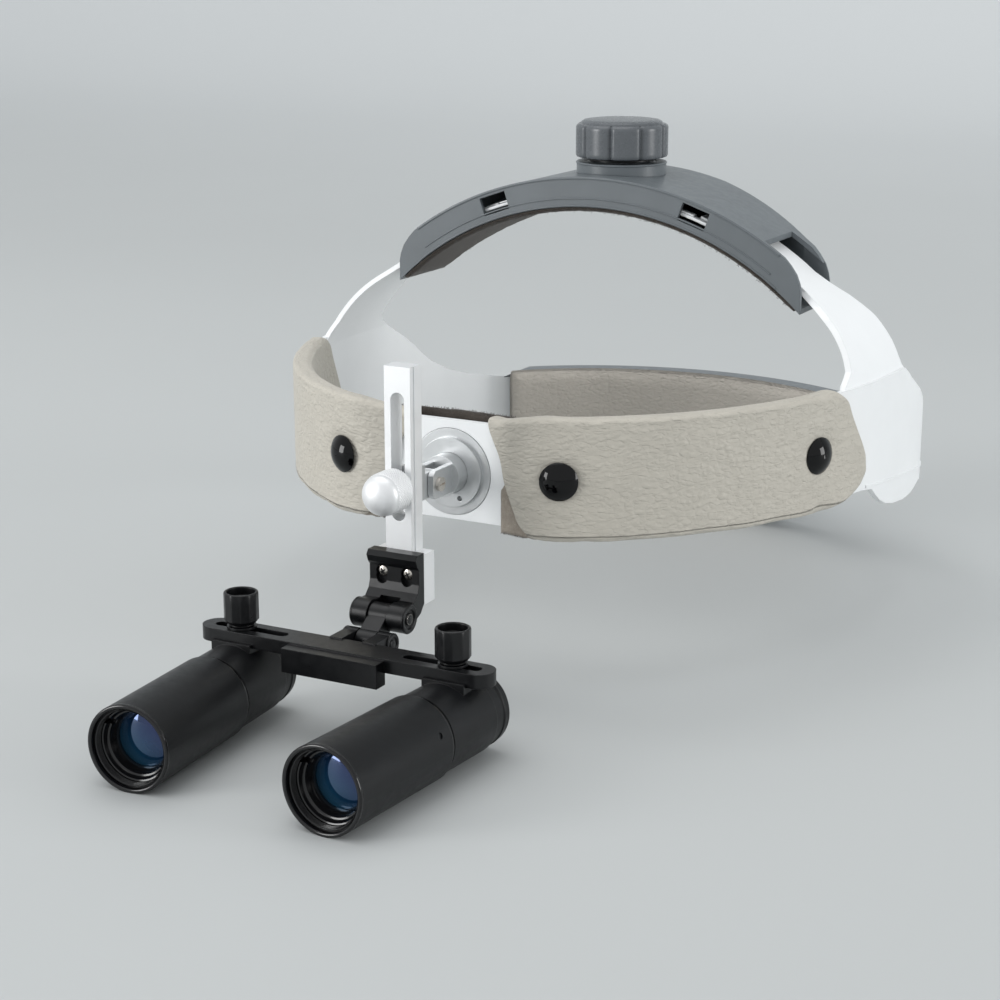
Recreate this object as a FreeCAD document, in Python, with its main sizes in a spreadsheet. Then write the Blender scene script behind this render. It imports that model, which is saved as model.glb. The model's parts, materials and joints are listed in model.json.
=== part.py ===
import FreeCAD, Part
import math
import os
from FreeCAD import Placement, Rotation, Vector

# Binocular dental loupes on an adjustable headband, in millimetres.
# Frame: +Z up, the surface it stands on at Z 0, the loupes look along -Y,
# the wearer's left is +X, and the object is symmetric about X 0.

doc = FreeCAD.newDocument("DentalLoupes")
sheet = doc.addObject("Spreadsheet::Sheet", "Dims")

DIMS = [
    ("band_half_width", 102.0), ("band_front_depth", 127.5), ("band_rear_depth", 95.0),
    ("band_centre_y", 61.0), ("band_centre_z", 65.3), ("shell_thick", 1.8),
    ("cover_height", 37.4), ("cover_thick", 6.0), ("cover_skin", 2.2),
    ("snap_radius", 5.75), ("snap_dome", 2.4), ("snap_stem_radius", 1.6),
    ("crown_radius", 115.0), ("crown_centre_z", 26.0), ("crown_wall", 1.5),
    ("crown_depth", 9.8), ("arm_radius", 109.6),
    ("knob_radius", 15.5), ("knob_height", 11.0), ("knob_base_z", 145.4), ("knob_y", 62.0),
    ("base_ring_radius", 15.0), ("neck_radius", 10.0),
    ("pinion_radius", 4.2), ("spindle_radius", 2.0), ("run_fit", 0.06),
    ("rear_knob_radius", 14.0), ("rear_knob_height", 13.0), ("rear_knob_z", 30.0),
    ("disc_radius", 13.2), ("disc_z", 63.6), ("disc_face_y", -57.6),
    ("socket_radius", 6.2), ("tilt_y", -70.5), ("tilt_pin_radius", 1.25),
    ("post_width", 8.6), ("post_depth", 6.2), ("post_front_y", -87.2), ("post_bottom_z", 46.5),
    ("post_top_z", 101.0), ("slot_width", 4.4), ("slot_low_z", 56.0), ("slot_high_z", 93.5),
    ("clamp_radius", 6.6), ("clamp_knurl", 6.4), ("clamp_shank_radius", 1.9),
    ("foot_width", 16.4), ("foot_low_z", 32.0), ("foot_depth", 6.0),
    ("flip_y", -96.6), ("flip_z", 30.4), ("flip_radius", 4.2), ("flip_pin_radius", 1.5),
    ("tip_y", -104.3), ("tip_z", 25.0), ("tip_radius", 3.3), ("tip_pin_radius", 1.2),
    ("bar_half_length", 47.0), ("bar_low_z", 23.6), ("bar_thick", 4.0),
    ("bar_front_y", -122.2), ("bar_width", 9.6), ("bar_slot_width", 3.4),
    ("plaque_half", 15.4), ("plaque_low_z", 20.0), ("plaque_proud", 4.0),
    ("barrel_radius", 12.3), ("barrel_tube", 41.5), ("objective_half", 30.0),
    ("objective_y", -177.4), ("converge_angle", 4.2), ("neck_bore", 9.4),
    ("yoke_start", 43.2), ("yoke_length", 21.0), ("eyepiece_length", 9.0),
    ("eyepiece_radius", 11.1), ("lens_radius", 7.6),
    ("screw_radius", 5.0), ("screw_head", 9.4), ("screw_y", -117.4), ("screw_shank_radius", 1.45),
]
v = {}
for row, (alias, value) in enumerate(DIMS, start=1):
    sheet.set("A%d" % row, alias)
    sheet.set("B%d" % row, str(value))
    sheet.setAlias("B%d" % row, alias)
    v[alias] = value
doc.recompute()

AXES = {
    "+X": Rotation(Vector(0, 1, 0), 90),
    "-X": Rotation(Vector(0, 1, 0), -90),
    "+Y": Rotation(Vector(1, 0, 0), -90),
    "-Y": Rotation(Vector(1, 0, 0), 90),
    "+Z": Rotation(),
}
NODES = []


def bind(obj, **props):
    """Tie each property to an expression on the sheet, or set a plain value."""
    for prop, value in props.items():
        if isinstance(value, str):
            obj.setExpression(prop, value.replace("$", "Dims."))
        else:
            setattr(obj, prop, value)
    return obj


def cylinder(name, radius, height, at, axis="+Z"):
    obj = bind(doc.addObject("Part::Cylinder", name), Radius=radius, Height=height)
    obj.Placement = Placement(Vector(*at), AXES[axis])
    return obj


def cone(name, radius1, radius2, height, at, axis="+Z"):
    obj = bind(doc.addObject("Part::Cone", name), Radius1=radius1, Radius2=radius2, Height=height)
    obj.Placement = Placement(Vector(*at), AXES[axis])
    return obj


def box(name, size, at):
    obj = bind(doc.addObject("Part::Box", name), Length=size[0], Width=size[1], Height=size[2])
    obj.Placement = Placement(Vector(*at), Rotation())
    return obj


def cut(name, base, *tools):
    result = base
    for index, tool in enumerate(tools):
        step = doc.addObject("Part::Cut", "%s_cut%d" % (name, index))
        step.Base = result
        step.Tool = tool
        result = step
    result.Label = name
    return result


def fuse(name, *shapes):
    obj = doc.addObject("Part::MultiFuse", name + "_fuse")
    obj.Shapes = list(shapes)
    obj.Refine = True
    obj.Label = name
    return obj


def common(name, *shapes):
    obj = doc.addObject("Part::MultiCommon", name + "_common")
    obj.Shapes = list(shapes)
    obj.Label = name
    return obj


def node(name, obj):
    """Keep this object as a sub-part under its own name."""
    obj.Label = name
    NODES.append((name, obj))
    return obj


def plane_of(body, role):
    return [f for f in body.Origin.OriginFeatures if f.Role == role][0]


def sketch_pad(name, edges, role, length, start):
    """A body with one closed sketch on an origin plane, padded by length from start."""
    body = doc.addObject("PartDesign::Body", name + "_body")
    sketch = body.newObject("Sketcher::SketchObject", name + "_sketch")
    sketch.AttachmentSupport = [(plane_of(body, role), "")]
    sketch.MapMode = "FlatFace"
    sketch.AttachmentOffset = Placement(Vector(0, 0, start), Rotation())
    for edge in edges:
        sketch.addGeometry(edge, False)
    pad = body.newObject("PartDesign::Pad", name + "_pad")
    pad.Profile = sketch
    bind(pad, Length=length)
    body.Tip = pad
    return body


def polygon(points):
    """Line segments through 2D points, closed."""
    closed = list(points) + [points[0]]
    return [
        Part.LineSegment(Vector(a[0], a[1], 0), Vector(b[0], b[1], 0))
        for a, b in zip(closed[:-1], closed[1:])
    ]


def spline(points):
    curve = Part.BSplineCurve()
    curve.interpolate([Vector(p[0], p[1], 0) for p in points])
    return curve


def ribbon(outer, inner):
    """Closed sketch between two open splines."""
    return [
        spline(outer),
        Part.LineSegment(Vector(*outer[-1], 0), Vector(*inner[-1], 0)),
        spline(inner[::-1]),
        Part.LineSegment(Vector(*inner[0], 0), Vector(*outer[0], 0)),
    ]


def side_mask(name, points, half=130.0):
    """Prism along X from a Y-Z outline, to trim a shape in side view."""
    return sketch_pad(name, polygon(points), "YZ_Plane", 2.0 * half, -half)


# ---------------------------------------------------------------- band plan
YC = v["band_centre_y"]
ZC = v["band_centre_z"]
FRONT_PLAN = [(0.0, -55.8), (10.0, -56.8), (20.0, -58.6), (30.0, -59.6), (40.2, -56.3)]
ELLIPSE_STEPS = [31, 39, 47, 55, 63, 71, 80, 90, 101, 112, 123, 135, 147, 158, 169, 180]
# the strips bow out a little behind the temples: half width at these steps
WIDE_STEPS = {101: 102.3, 112: 99.6, 123: 88.6}


def plan_half():
    """Points of the outer face of the covers in plan, from the front centre to the rear."""
    points = list(FRONT_PLAN)
    for step in ELLIPSE_STEPS:
        depth = v["band_front_depth"] if step <= 90 else v["band_rear_depth"]
        angle = math.radians(step)
        wide = WIDE_STEPS.get(step, v["band_half_width"] * math.sin(angle))
        points.append((wide, YC - depth * math.cos(angle)))
    return points


HALF = plan_half()


def offset_points(points, inward):
    """Offset an open polyline sideways, toward the inside of the band."""
    result = []
    for i, (x, y) in enumerate(points):
        ax, ay = points[max(i - 1, 0)]
        bx, by = points[min(i + 1, len(points) - 1)]
        tx, ty = bx - ax, by - ay
        size = math.hypot(tx, ty)
        result.append((x - ty / size * inward, y + tx / size * inward))
    return result


def part_of_plan(start_x, end_y, inward):
    """Points of the right-hand half of the plan between two limits, moved inward."""
    dense = spline(HALF)
    count = 240
    first, last = dense.FirstParameter, dense.LastParameter
    raw = [dense.value(first + (last - first) * i / count) for i in range(count + 1)]
    points = offset_points([(p.x, p.y) for p in raw], inward)
    kept = [p for p in points if p[0] >= start_x and p[1] <= end_y]
    step = max(1, len(kept) // 14)
    thin = kept[::step]
    if thin[-1] != kept[-1]:
        thin.append(kept[-1])
    return thin


def mirrored(points):
    return [(-x, y) for x, y in points[::-1]]


def whole_plan(end_y, inward):
    right = part_of_plan(0.0, end_y, inward)
    right = [p for p in right if p[0] > 4.0]
    return mirrored(right) + right


def band_pad(name, end_y, outer_in, inner_in, low_z, high_z):
    edges = ribbon(whole_plan(end_y, outer_in), whole_plan(end_y, inner_in))
    return sketch_pad(name, edges, "XY_Plane", high_z - low_z, low_z)


# ---------------------------------------------------------------- white headband shell
SHELL_OUT = v["cover_skin"]
SHELL_IN = v["cover_skin"] + v["shell_thick"]
band_strip = band_pad("shell_strip", 137.0, SHELL_OUT, SHELL_IN, 30.0, 83.0)
BAND_SIDE = [
    (-75, 49.0), (20, 49.0), (34, 48.6), (41, 47.6), (44.5, 44.8), (48, 42.4), (53, 40.2), (60, 38.6),
    (70, 37.6), (78, 38.0), (88, 40.0), (100, 38.0), (112, 35.6), (128, 34.6), (142, 34.6), (142, 52.0),
    (124, 52.3), (118, 53.0), (111, 54.4), (105, 56.5), (98, 60.8), (94, 64.4), (90, 68.2), (84, 72.2),
    (78, 75.4), (73, 78.2), (69, 80.8), (66, 82.5), (-30, 82.5), (-40, 79.4), (-75, 79.4),
]
band_mask = side_mask("shell_outline", BAND_SIDE)
band_part = common("shell_band", band_strip, band_mask)

CROWN_Z = v["crown_centre_z"]
ARM_X = v["band_half_width"] - (SHELL_OUT + SHELL_IN) / 2.0
ARM_JOIN_Z = 82.0
ARM_FREE_Z = 110.0


def arc_point(radius, x):
    return (x, CROWN_Z + math.sqrt(radius * radius - x * x))


def plan_reach(y):
    """How far the band's side stands in from its widest half width at this depth."""
    curve = spline(HALF)
    spots = [curve.value(curve.FirstParameter + (curve.LastParameter - curve.FirstParameter) * i / 800.0)
             for i in range(801)]
    near = min((p for p in spots if p.x > 60.0), key=lambda p: abs(p.y - y))
    return near.x - v["band_half_width"]


def arm_line(extra, reach):
    """One arm in front view: along the band's side, then over into the crown strap."""
    low = [(ARM_X, 76.0), (ARM_X - 0.3, 80.0), (ARM_X - 2.3, 85.5), (ARM_X - 6.4, 92.0), (86.6, 98.4)]
    lean = [(1, 0.02), (0.98, 0.2), (0.93, 0.37), (0.82, 0.57), (0.74, 0.67)]
    radius = v["arm_radius"]
    for angle in (41.2, 38.0, 34.0, 29.0, 24.0, 19.5):
        turn = math.radians(angle)
        low.append((radius * math.sin(turn), CROWN_Z + radius * math.cos(turn)))
        lean.append((math.sin(turn), math.cos(turn)))
    points = []
    for (x, z), (nx, nz) in zip(low, lean):
        share = min(1.0, max(0.0, (ARM_FREE_Z - z) / (ARM_FREE_Z - ARM_JOIN_Z)))
        half = extra if z > 83.0 else extra * 0.93
        move = half + reach * share
        points.append((x + move * nx, z + move * nz))
    return points


def arm_section(sign, y):
    reach = plan_reach(y)
    half = v["shell_thick"] / 2
    outer = [Vector(sign * x, y, z) for x, z in arm_line(half, reach)]
    inner = [Vector(sign * x, y, z) for x, z in arm_line(-half, reach)]
    faces = []
    for row in (outer, inner):
        curve = Part.BSplineCurve()
        curve.interpolate(row)
        faces.append(curve.toShape())
    top = Part.makeLine(outer[-1], inner[-1])
    foot = Part.makeLine(inner[0], outer[0])
    return Part.Wire([faces[0], top, faces[1], foot])


ARM_SIDE = [
    (20, 70), (20, 78), (24.3, 83.5), (29.6, 87.0), (32.3, 91.6), (34.6, 95.9), (37.8, 100.9), (41.0, 104.5),
    (43.2, 108.5), (43.5, 113.0), (43.5, 140.0), (62.5, 140.0), (62.5, 112.0), (64.4, 109.3), (67.4, 104.6),
    (68.6, 98.0), (67.6, 91.0), (66.2, 86.5), (66.2, 83.6), (68.2, 81.0), (72.0, 78.4), (77.0, 75.6), (77.0, 70.0),
]
arm_mask = side_mask("arm_outline", ARM_SIDE)
arm_shapes = []
for side, sign in (("left", 1), ("right", -1)):
    blank = doc.addObject("Part::Feature", "arm_" + side)
    blank.Shape = Part.makeLoft([arm_section(sign, y) for y in (10, 22, 34, 46, 58, 70, 82, 94)], True)
    arm_shapes.append(blank)
arm_pair = fuse("arm_pair", *arm_shapes)
arm_part = common("shell_arms", arm_pair, arm_mask)
shell_raw = fuse("headband_raw", band_part, arm_part)

snap_spots = []
for step_x, step_y in ((36.6, None), (92.4, None)):
    dense = spline(HALF)
    best = min(
        (dense.value(dense.FirstParameter + (dense.LastParameter - dense.FirstParameter) * i / 600)
         for i in range(400)),
        key=lambda p: abs(p.x - step_x) + (0 if p.y < 40 else 500),
    )
    snap_spots.append((best.x, best.y))


def plan_normal(x, y):
    dense = spline(HALF)
    spot = dense.parameter(Vector(x, y, 0))
    tangent = dense.tangent(spot)[0]
    return Vector(tangent.y, -tangent.x, 0)


def snap_axis(sign, index):
    x, y = snap_spots[index]
    out = plan_normal(x, y)
    return Vector(sign * x, y, ZC), Vector(sign * out.x, out.y, 0)


def along(name, radius, height, base, direction, start):
    obj = bind(doc.addObject("Part::Cylinder", name), Radius=radius, Height=height)
    turn = Rotation(Vector(0, 0, 1), direction)
    obj.Placement = Placement(base + direction * start, turn)
    return obj


stem_holes = []
caps = []
for sign in (1, -1):
    for index in (0, 1):
        base, out = snap_axis(sign, index)
        tag = "%s%d" % ("l" if sign > 0 else "r", index)
        stem_holes.append(along("stem_hole_" + tag, "$snap_stem_radius", 9.0, base, out, -7.5))
        dome = doc.addObject("Part::Feature", "snap_dome_" + tag)
        ball_radius = (v["snap_radius"] ** 2 + v["snap_dome"] ** 2) / (2 * v["snap_dome"])
        ball = Part.makeSphere(ball_radius, Vector(0, 0, v["snap_dome"] - ball_radius))
        trim = Part.makeCylinder(v["snap_radius"], 6.0)
        dome.Shape = ball.common(trim)
        dome.Placement = Placement(base + out * 0.5, Rotation(Vector(0, 0, 1), out))
        skirt = along("snap_skirt_" + tag, "$snap_radius", 0.3, base, out, 0.2)
        stem = along("snap_stem_" + tag, "$snap_stem_radius", 6.4, base, out, -6.3)
        caps.append(fuse("snap_" + tag, dome, skirt, stem))
DZ = v["disc_z"]
DY = v["disc_face_y"]
shell_seat = cylinder("shell_seat", "$disc_radius + 0.9", 2.3, (0, DY + 3.2, DZ), "+Y")
shell_hole = cylinder("shell_centre_hole", 5.4, 30.0, (0, -70, DZ), "+Y")
shell_sink = cylinder("shell_disc_sink", "$disc_radius + 0.1", 6.0, (0, DY - 2.8, DZ), "+Y")
headband = cut("headband_shell", fuse("headband_seated", shell_raw, shell_seat), shell_hole, shell_sink, *stem_holes)
node("headband_shell", headband)
node("snap_fasteners", fuse("snap_fasteners", *caps))

# ---------------------------------------------------------------- covers and forehead pad
HALF_COVER = v["cover_height"] / 2
LOW_C, HIGH_C = ZC - HALF_COVER, ZC + HALF_COVER
COVER_SIDE = [
    (-75, LOW_C), (22, LOW_C), (29, LOW_C + 2), (32.5, LOW_C + 8), (31, LOW_C + 16), (27.5, LOW_C + 25),
    (23.5, HIGH_C - 4), (20, HIGH_C), (-75, HIGH_C),
]
COVER_FRONT = [
    (12.2, HIGH_C), (13.2, 80.0), (14.8, 75.9), (17.6, 68.6), (17.4, 61.3), (20.5, 60.1), (23.4, 51.2), (27.1, 47.7),
    (31.0, LOW_C), (130.0, LOW_C), (130.0, HIGH_C),
]
for side, sign in (("left", 1), ("right", -1)):
    outer = part_of_plan(11.5, 40.0, 0.0)
    inner = part_of_plan(11.5, 40.0, v["cover_thick"])
    if sign < 0:
        outer, inner = mirrored(outer), mirrored(inner)
    strip = sketch_pad("cover_strip_" + side, ribbon(outer, inner), "XY_Plane", "$cover_height", LOW_C)
    mask = side_mask("cover_outline_" + side, COVER_SIDE)
    front_edges = polygon([(sign * x, z) for x, z in COVER_FRONT])
    front_mask = sketch_pad("cover_front_" + side, front_edges, "XZ_Plane", 200.0, -100.0)
    solid = common("cover_solid_" + side, strip, mask, front_mask)
    body = cut("%s_leather_cover" % side, solid, headband, *stem_holes)
    node("%s_leather_cover" % side, body)

pad_edges = ribbon(
    mirrored(part_of_plan(4.0, -20.0, 6.4)) + part_of_plan(4.0, -20.0, 6.4),
    mirrored(part_of_plan(4.0, -20.0, 10.2)) + part_of_plan(4.0, -20.0, 10.2),
)
pad_blank = sketch_pad("forehead_pad_blank", pad_edges, "XY_Plane", 32.4, 48.0)
pad_recess = cylinder("forehead_pad_recess", 9.0, 30.0, (0, -70, DZ), "+Y")
pad_lip = cylinder("forehead_pad_lip", "$disc_radius + 1.2", 20.0 - 0.9, (0, -70, DZ), "+Y")
pad_keep = box("forehead_pad_keep", (52.0, 60.0, 60.0), (-26.0, -70.0, 40.0))
pad_middle = common("forehead_pad_middle", pad_blank, pad_keep)
node("forehead_pad", cut("forehead_pad", pad_middle, pad_recess, pad_lip))

# ---------------------------------------------------------------- crown strap
CR = v["crown_radius"]
WALL = v["crown_wall"]
DEPTH = v["crown_depth"]
CROWN_FRONT, CROWN_REAR = 39.0, 86.0


def arc_ribbon(outer_r, inner_r, limit):
    outer = [arc_point(outer_r, limit * i / 8.0) for i in range(-8, 9)]
    inner = [arc_point(inner_r, limit * i / 8.0) for i in range(-8, 9)]
    return ribbon(outer, inner)


def arc_band(name, outer_r, inner_r, limit, front, rear):
    edges = arc_ribbon(outer_r, inner_r, limit)
    return sketch_pad(name, edges, "XZ_Plane", rear - front, -rear)


def plan_mask(name, points):
    full = points + [(-x, y) for x, y in points[::-1] if x > 0]
    return sketch_pad(name, polygon(full), "XY_Plane", 90.0, 90.0)


OUT_PLAN = [(0, CROWN_FRONT), (73.0, CROWN_FRONT), (73.0, 67.0), (64.0, 68.5), (50, 74), (30, 81), (0, CROWN_REAR)]
IN_PLAN = [
    (0, CROWN_FRONT + WALL), (90.0, CROWN_FRONT + WALL), (90.0, 67.0 - WALL), (63.6, 68.5 - WALL),
    (49.6, 74 - WALL), (29.6, 81 - WALL), (0, CROWN_REAR - WALL),
]
crown_block = common(
    "crown_block",
    arc_band("crown_arc", CR, CR - DEPTH, 73.0, CROWN_FRONT - 5, CROWN_REAR + 5),
    plan_mask("crown_plan", OUT_PLAN),
)
crown_room = common(
    "crown_room",
    arc_band("crown_room_arc", CR - WALL, CR - DEPTH - 3, 76.0, CROWN_FRONT - 5, CROWN_REAR + 5),
    plan_mask("crown_room_plan", IN_PLAN),
)
open_ends = []
for sign in (1, -1):
    x0 = 60.0 if sign > 0 else -80.0
    open_ends.append(box("crown_open_%d" % (sign + 1), (20.0, 24.4, 60.0), (x0, CROWN_FRONT + WALL, 90.0)))
WINDOW_X, WINDOW_TOP, WINDOW_TALL, WINDOW_LONG = 37.0, CR - 1.6, 6.0, 9.8
windows = []
tips = []
for sign in (1, -1):
    top = CROWN_Z + math.sqrt(WINDOW_TOP ** 2 - WINDOW_X ** 2)
    slot = bind(doc.addObject("Part::Box", "crown_window_%d" % (sign + 1)), Length=WINDOW_LONG, Width=7.0, Height=WINDOW_TALL)
    turn = Rotation(Vector(0, 1, 0), sign * math.degrees(math.asin(WINDOW_X / WINDOW_TOP)))
    corner = turn.multVec(Vector(-WINDOW_LONG / 2, 0, -WINDOW_TALL))
    slot.Placement = Placement(Vector(sign * WINDOW_X, CROWN_FRONT - 2, top) + corner, turn)
    windows.append(slot)
    rounding = [(67, 119.5), (69.3, 117), (71.3, 114.2), (72.5, 111.2), (73, 108.5), (75, 108.5), (75, 122), (67, 122)]
    tip_edges = polygon([(sign * x, z) for x, z in rounding])
    tips.append(sketch_pad("crown_tip_%d" % (sign + 1), tip_edges, "XZ_Plane", 60.0, -90.0))
spindle_hole = cylinder("crown_spindle_hole", "$spindle_radius + $run_fit", 40.0, (0, v["knob_y"], 120.0))
crown_shell = cut("crown_shell", crown_block, crown_room, *open_ends, *windows, *tips, spindle_hole)
node("crown_shell", crown_shell)

FLOOR_OUT = CR - DEPTH + 1.2
cover_band = common(
    "crown_cover_band",
    arc_band("crown_cover_arc", FLOOR_OUT, FLOOR_OUT - 1.2, 73.0, CROWN_FRONT - 5, CROWN_REAR + 5),
    plan_mask("crown_cover_plan", [(x, y + (0.1 if y < 50 else -0.1)) for x, y in IN_PLAN]),
)
cover_trim = box("crown_cover_trim", (146.0, 80.0, 90.0), (-73.0, 20.0, 80.0))
cover_hole = cylinder("crown_cover_hole", "$spindle_radius + $run_fit", 40.0, (0, v["knob_y"], 110.0))
node("crown_inner_cover", cut("crown_inner_cover", common("crown_cover_cut", cover_band, cover_trim), cover_hole))

liner_arc = arc_band("crown_liner_arc", CR - DEPTH - 0.1, CR - DEPTH - 1.6, 72.0, CROWN_FRONT - 5, CROWN_REAR + 5)
LINER_PLAN = [(x * 0.985, y + (0.4 if y < 50 else -0.4)) for x, y in OUT_PLAN]
liner_plan = plan_mask("crown_liner_plan", LINER_PLAN)
screw_recess = cylinder("crown_screw_recess", 4.4, 16.0, (0, v["knob_y"], 118.0))
node("crown_liner", cut("crown_liner", common("crown_liner_solid", liner_arc, liner_plan), screw_recess))

# crown knob: ring on the strap, neck, fluted knob with a low dome, spindle, pinion and end screw
KY = v["knob_y"]
KZ = v["knob_base_z"]
ring_blank = cylinder("crown_ring_blank", "$base_ring_radius", 9.0, (0, KY, KZ - 1.4 - 9.0))
ring_hole = cylinder("crown_ring_hole", "$spindle_radius + $run_fit", 40.0, (0, KY, 125.0))
ring_under = arc_band("crown_ring_under", CR, CR - 40, 30.0, 30.0, 95.0)
node("crown_base_ring", cut("crown_base_ring", ring_blank, ring_under, ring_hole))


def fluted(name, radius, height, at, axis, count, dish):
    """Round knob with shallow flutes round its rim and a low domed cap."""
    base = cylinder(name + "_blank", radius, height, at, axis)
    turn = AXES[axis]
    origin = Vector(*at)
    flutes = []
    size = v[radius[1:]]
    for i in range(count):
        angle = 2 * math.pi * (i + 0.5) / count
        spot = Vector((size + dish) * math.cos(angle), (size + dish) * math.sin(angle), -1)
        tool = Part.makeCylinder(dish + 0.45, v[height[1:]] + 2, spot)
        flutes.append(tool)
    flute_set = doc.addObject("Part::Feature", name + "_flutes")
    flute_set.Shape = Part.makeCompound(flutes)
    flute_set.Placement = Placement(origin, turn)
    dome = cone(name + "_cap", size - 2.6, size - 4.4, 1.5, (0, 0, 0), "+Z")
    dome.Placement = Placement(origin + turn.multVec(Vector(0, 0, v[height[1:]])), turn)
    return fuse(name + "_solid", cut(name + "_grip", base, flute_set), dome)


crown_neck = cylinder("crown_knob_neck", "$neck_radius", 1.5, (0, KY, KZ - 1.2))
crown_grip = fluted("crown_knob", "$knob_radius", "$knob_height", (0, KY, KZ + 0.3), "+Z", 9, 2.6)
crown_spindle = cylinder("crown_knob_spindle", "$spindle_radius", 21.0, (0, KY, KZ - 14.6))
node("crown_knob", fuse("crown_knob", crown_neck, crown_grip, crown_spindle))


def pinion(name, at, axis, height, bore, teeth=10):
    """Small spur pinion with straight teeth."""
    turn = AXES[axis]
    root = v["pinion_radius"] - 1.0
    blank = Part.makeCylinder(root, height)
    shapes = []
    for i in range(teeth):
        tooth = Part.makeBox(1.2, 0.95, height, Vector(root - 0.2, -0.475, 0))
        tooth.rotate(Vector(0, 0, 0), Vector(0, 0, 1), 360.0 * i / teeth)
        shapes.append(tooth)
    solid = blank.multiFuse(shapes).cut(Part.makeCylinder(bore, height + 2, Vector(0, 0, -1)))
    obj = doc.addObject("Part::Feature", name)
    obj.Shape = solid
    obj.Placement = Placement(Vector(*at), turn)
    return obj


crown_pinion_z = CROWN_Z + CR - DEPTH + 1.7
node("crown_pinion", pinion("crown_pinion_gear", (0, KY, crown_pinion_z), "+Z", 4.6, v["spindle_radius"]))
crown_screw_head = cylinder("crown_screw_head", 3.6, 1.1, (0, KY, KZ - 14.7 - 1.1))
crown_screw_slot = box("crown_screw_slot", (9.0, 0.8, 0.6), (-4.5, KY - 0.4, KZ - 14.7 - 1.2))
node("crown_screw", cut("crown_screw", crown_screw_head, crown_screw_slot))

# ---------------------------------------------------------------- rear housing


def rear_points(inward, limit):
    raw = []
    for i in range(61):
        angle = math.radians(limit + (180.0 - limit) * i / 60.0)
        raw.append((
            v["band_half_width"] * math.sin(angle),
            YC - v["band_rear_depth"] * math.cos(angle),
        ))
    moved = offset_points(raw, inward)[::6]
    half = [p for p in moved if p[0] > 1.0]
    return half + mirrored(half)


def rear_pad(name, out_in, inner_in, limit, low, high):
    edges = ribbon(rear_points(out_in, limit), rear_points(inner_in, limit))
    return sketch_pad(name, edges, "XY_Plane", high - low, low)


def lobe_mask(name, inset, half_top):
    """Prism along Y from an X-Z outline: the rear housing seen from behind, with a nape lobe."""
    low, high = inset, 54.5 - inset
    right = [
        (10.8, low), (24.0 - 0.8 * inset, low + 1.6), (33.0 - 0.9 * inset, low + 9.0),
        (57.0 - 0.5 * inset, low + 27.6), (half_top, low + 29.6), (half_top, high - 1.5), (half_top - 3, high),
    ]
    points = right + [(-x, z) for x, z in right[::-1]]
    return sketch_pad(name, polygon(points), "XZ_Plane", 110.0, -190.0)


R_IN = -2.4
R_ROOM = -1.0
rear_block = common("rear_block", rear_pad("rear_arc", R_IN, 6.6, 127.0, 0.0, 54.5), lobe_mask("rear_lobe", 0.0, 73.5))
rear_room = common("rear_room", rear_pad("rear_room_arc", R_ROOM, 9.0, 120.0, -2.0, 60.0), lobe_mask("rear_room_lobe", 1.7, 95.0))
rear_spindle_hole = cylinder("rear_spindle_hole", "$spindle_radius + $run_fit", 60.0, (0, 130, v["rear_knob_z"]), "+Y")
node("rear_housing", cut("rear_housing", rear_block, rear_room, rear_spindle_hole))
rear_cover = common("rear_cover_solid", rear_pad("rear_cover_arc", 5.3, 6.5, 126.0, 0.0, 54.5), lobe_mask("rear_cover_lobe", 1.8, 71.5))
cover_spindle = cylinder("rear_cover_hole", "$spindle_radius + $run_fit", 60.0, (0, 130, v["rear_knob_z"]), "+Y")
node("rear_inner_cover", cut("rear_inner_cover", rear_cover, cover_spindle))
rear_soft = common("rear_soft_solid", rear_pad("rear_soft_arc", 6.7, 11.5, 127.0, 0.0, 54.5), lobe_mask("rear_soft_lobe", 0.7, 72.5))
soft_recess = cylinder("rear_pad_recess", 5.0, 60.0, (0, 130, v["rear_knob_z"]), "+Y")
node("rear_leather_pad", cut("rear_leather_pad", rear_soft, soft_recess))

REAR_OUT = YC + v["band_rear_depth"] - R_IN
RZ = v["rear_knob_z"]
rear_ring_blank = cylinder("rear_ring_blank", "$base_ring_radius", 11.4, (0, REAR_OUT - 7.6, RZ), "+Y")
rear_ring_hole = cylinder("rear_ring_hole", "$spindle_radius + $run_fit", 40.0, (0, REAR_OUT - 20, RZ), "+Y")
rear_ring_under = rear_pad("rear_ring_under", R_IN, 40.0, 140.0, 0.0, 60.0)
node("rear_base_ring", cut("rear_base_ring", rear_ring_blank, rear_ring_under, rear_ring_hole))
rear_neck = cylinder("rear_knob_neck", "$neck_radius", 1.5, (0, REAR_OUT + 4.0, RZ), "+Y")
rear_grip = fluted("rear_knob", "$rear_knob_radius", "$rear_knob_height", (0, REAR_OUT + 5.4, RZ), "+Y", 9, 2.4)
rear_spindle = cylinder("rear_knob_spindle", "$spindle_radius", 20.8, (0, REAR_OUT - 9.4, RZ), "+Y")
node("rear_knob", fuse("rear_knob", rear_neck, rear_grip, rear_spindle))
node("rear_pinion", pinion("rear_pinion_gear", (0, REAR_OUT - 7.2, RZ), "+Y", 4.8, v["spindle_radius"]))
rear_screw_head = cylinder("rear_screw_head", 3.6, 1.8, (0, REAR_OUT - 11.3, RZ), "+Y")
rear_screw_slot = box("rear_screw_slot", (9.0, 0.8, 0.8), (-4.5, REAR_OUT - 11.4, RZ - 0.4))
node("rear_screw", cut("rear_screw", rear_screw_head, rear_screw_slot))

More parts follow.
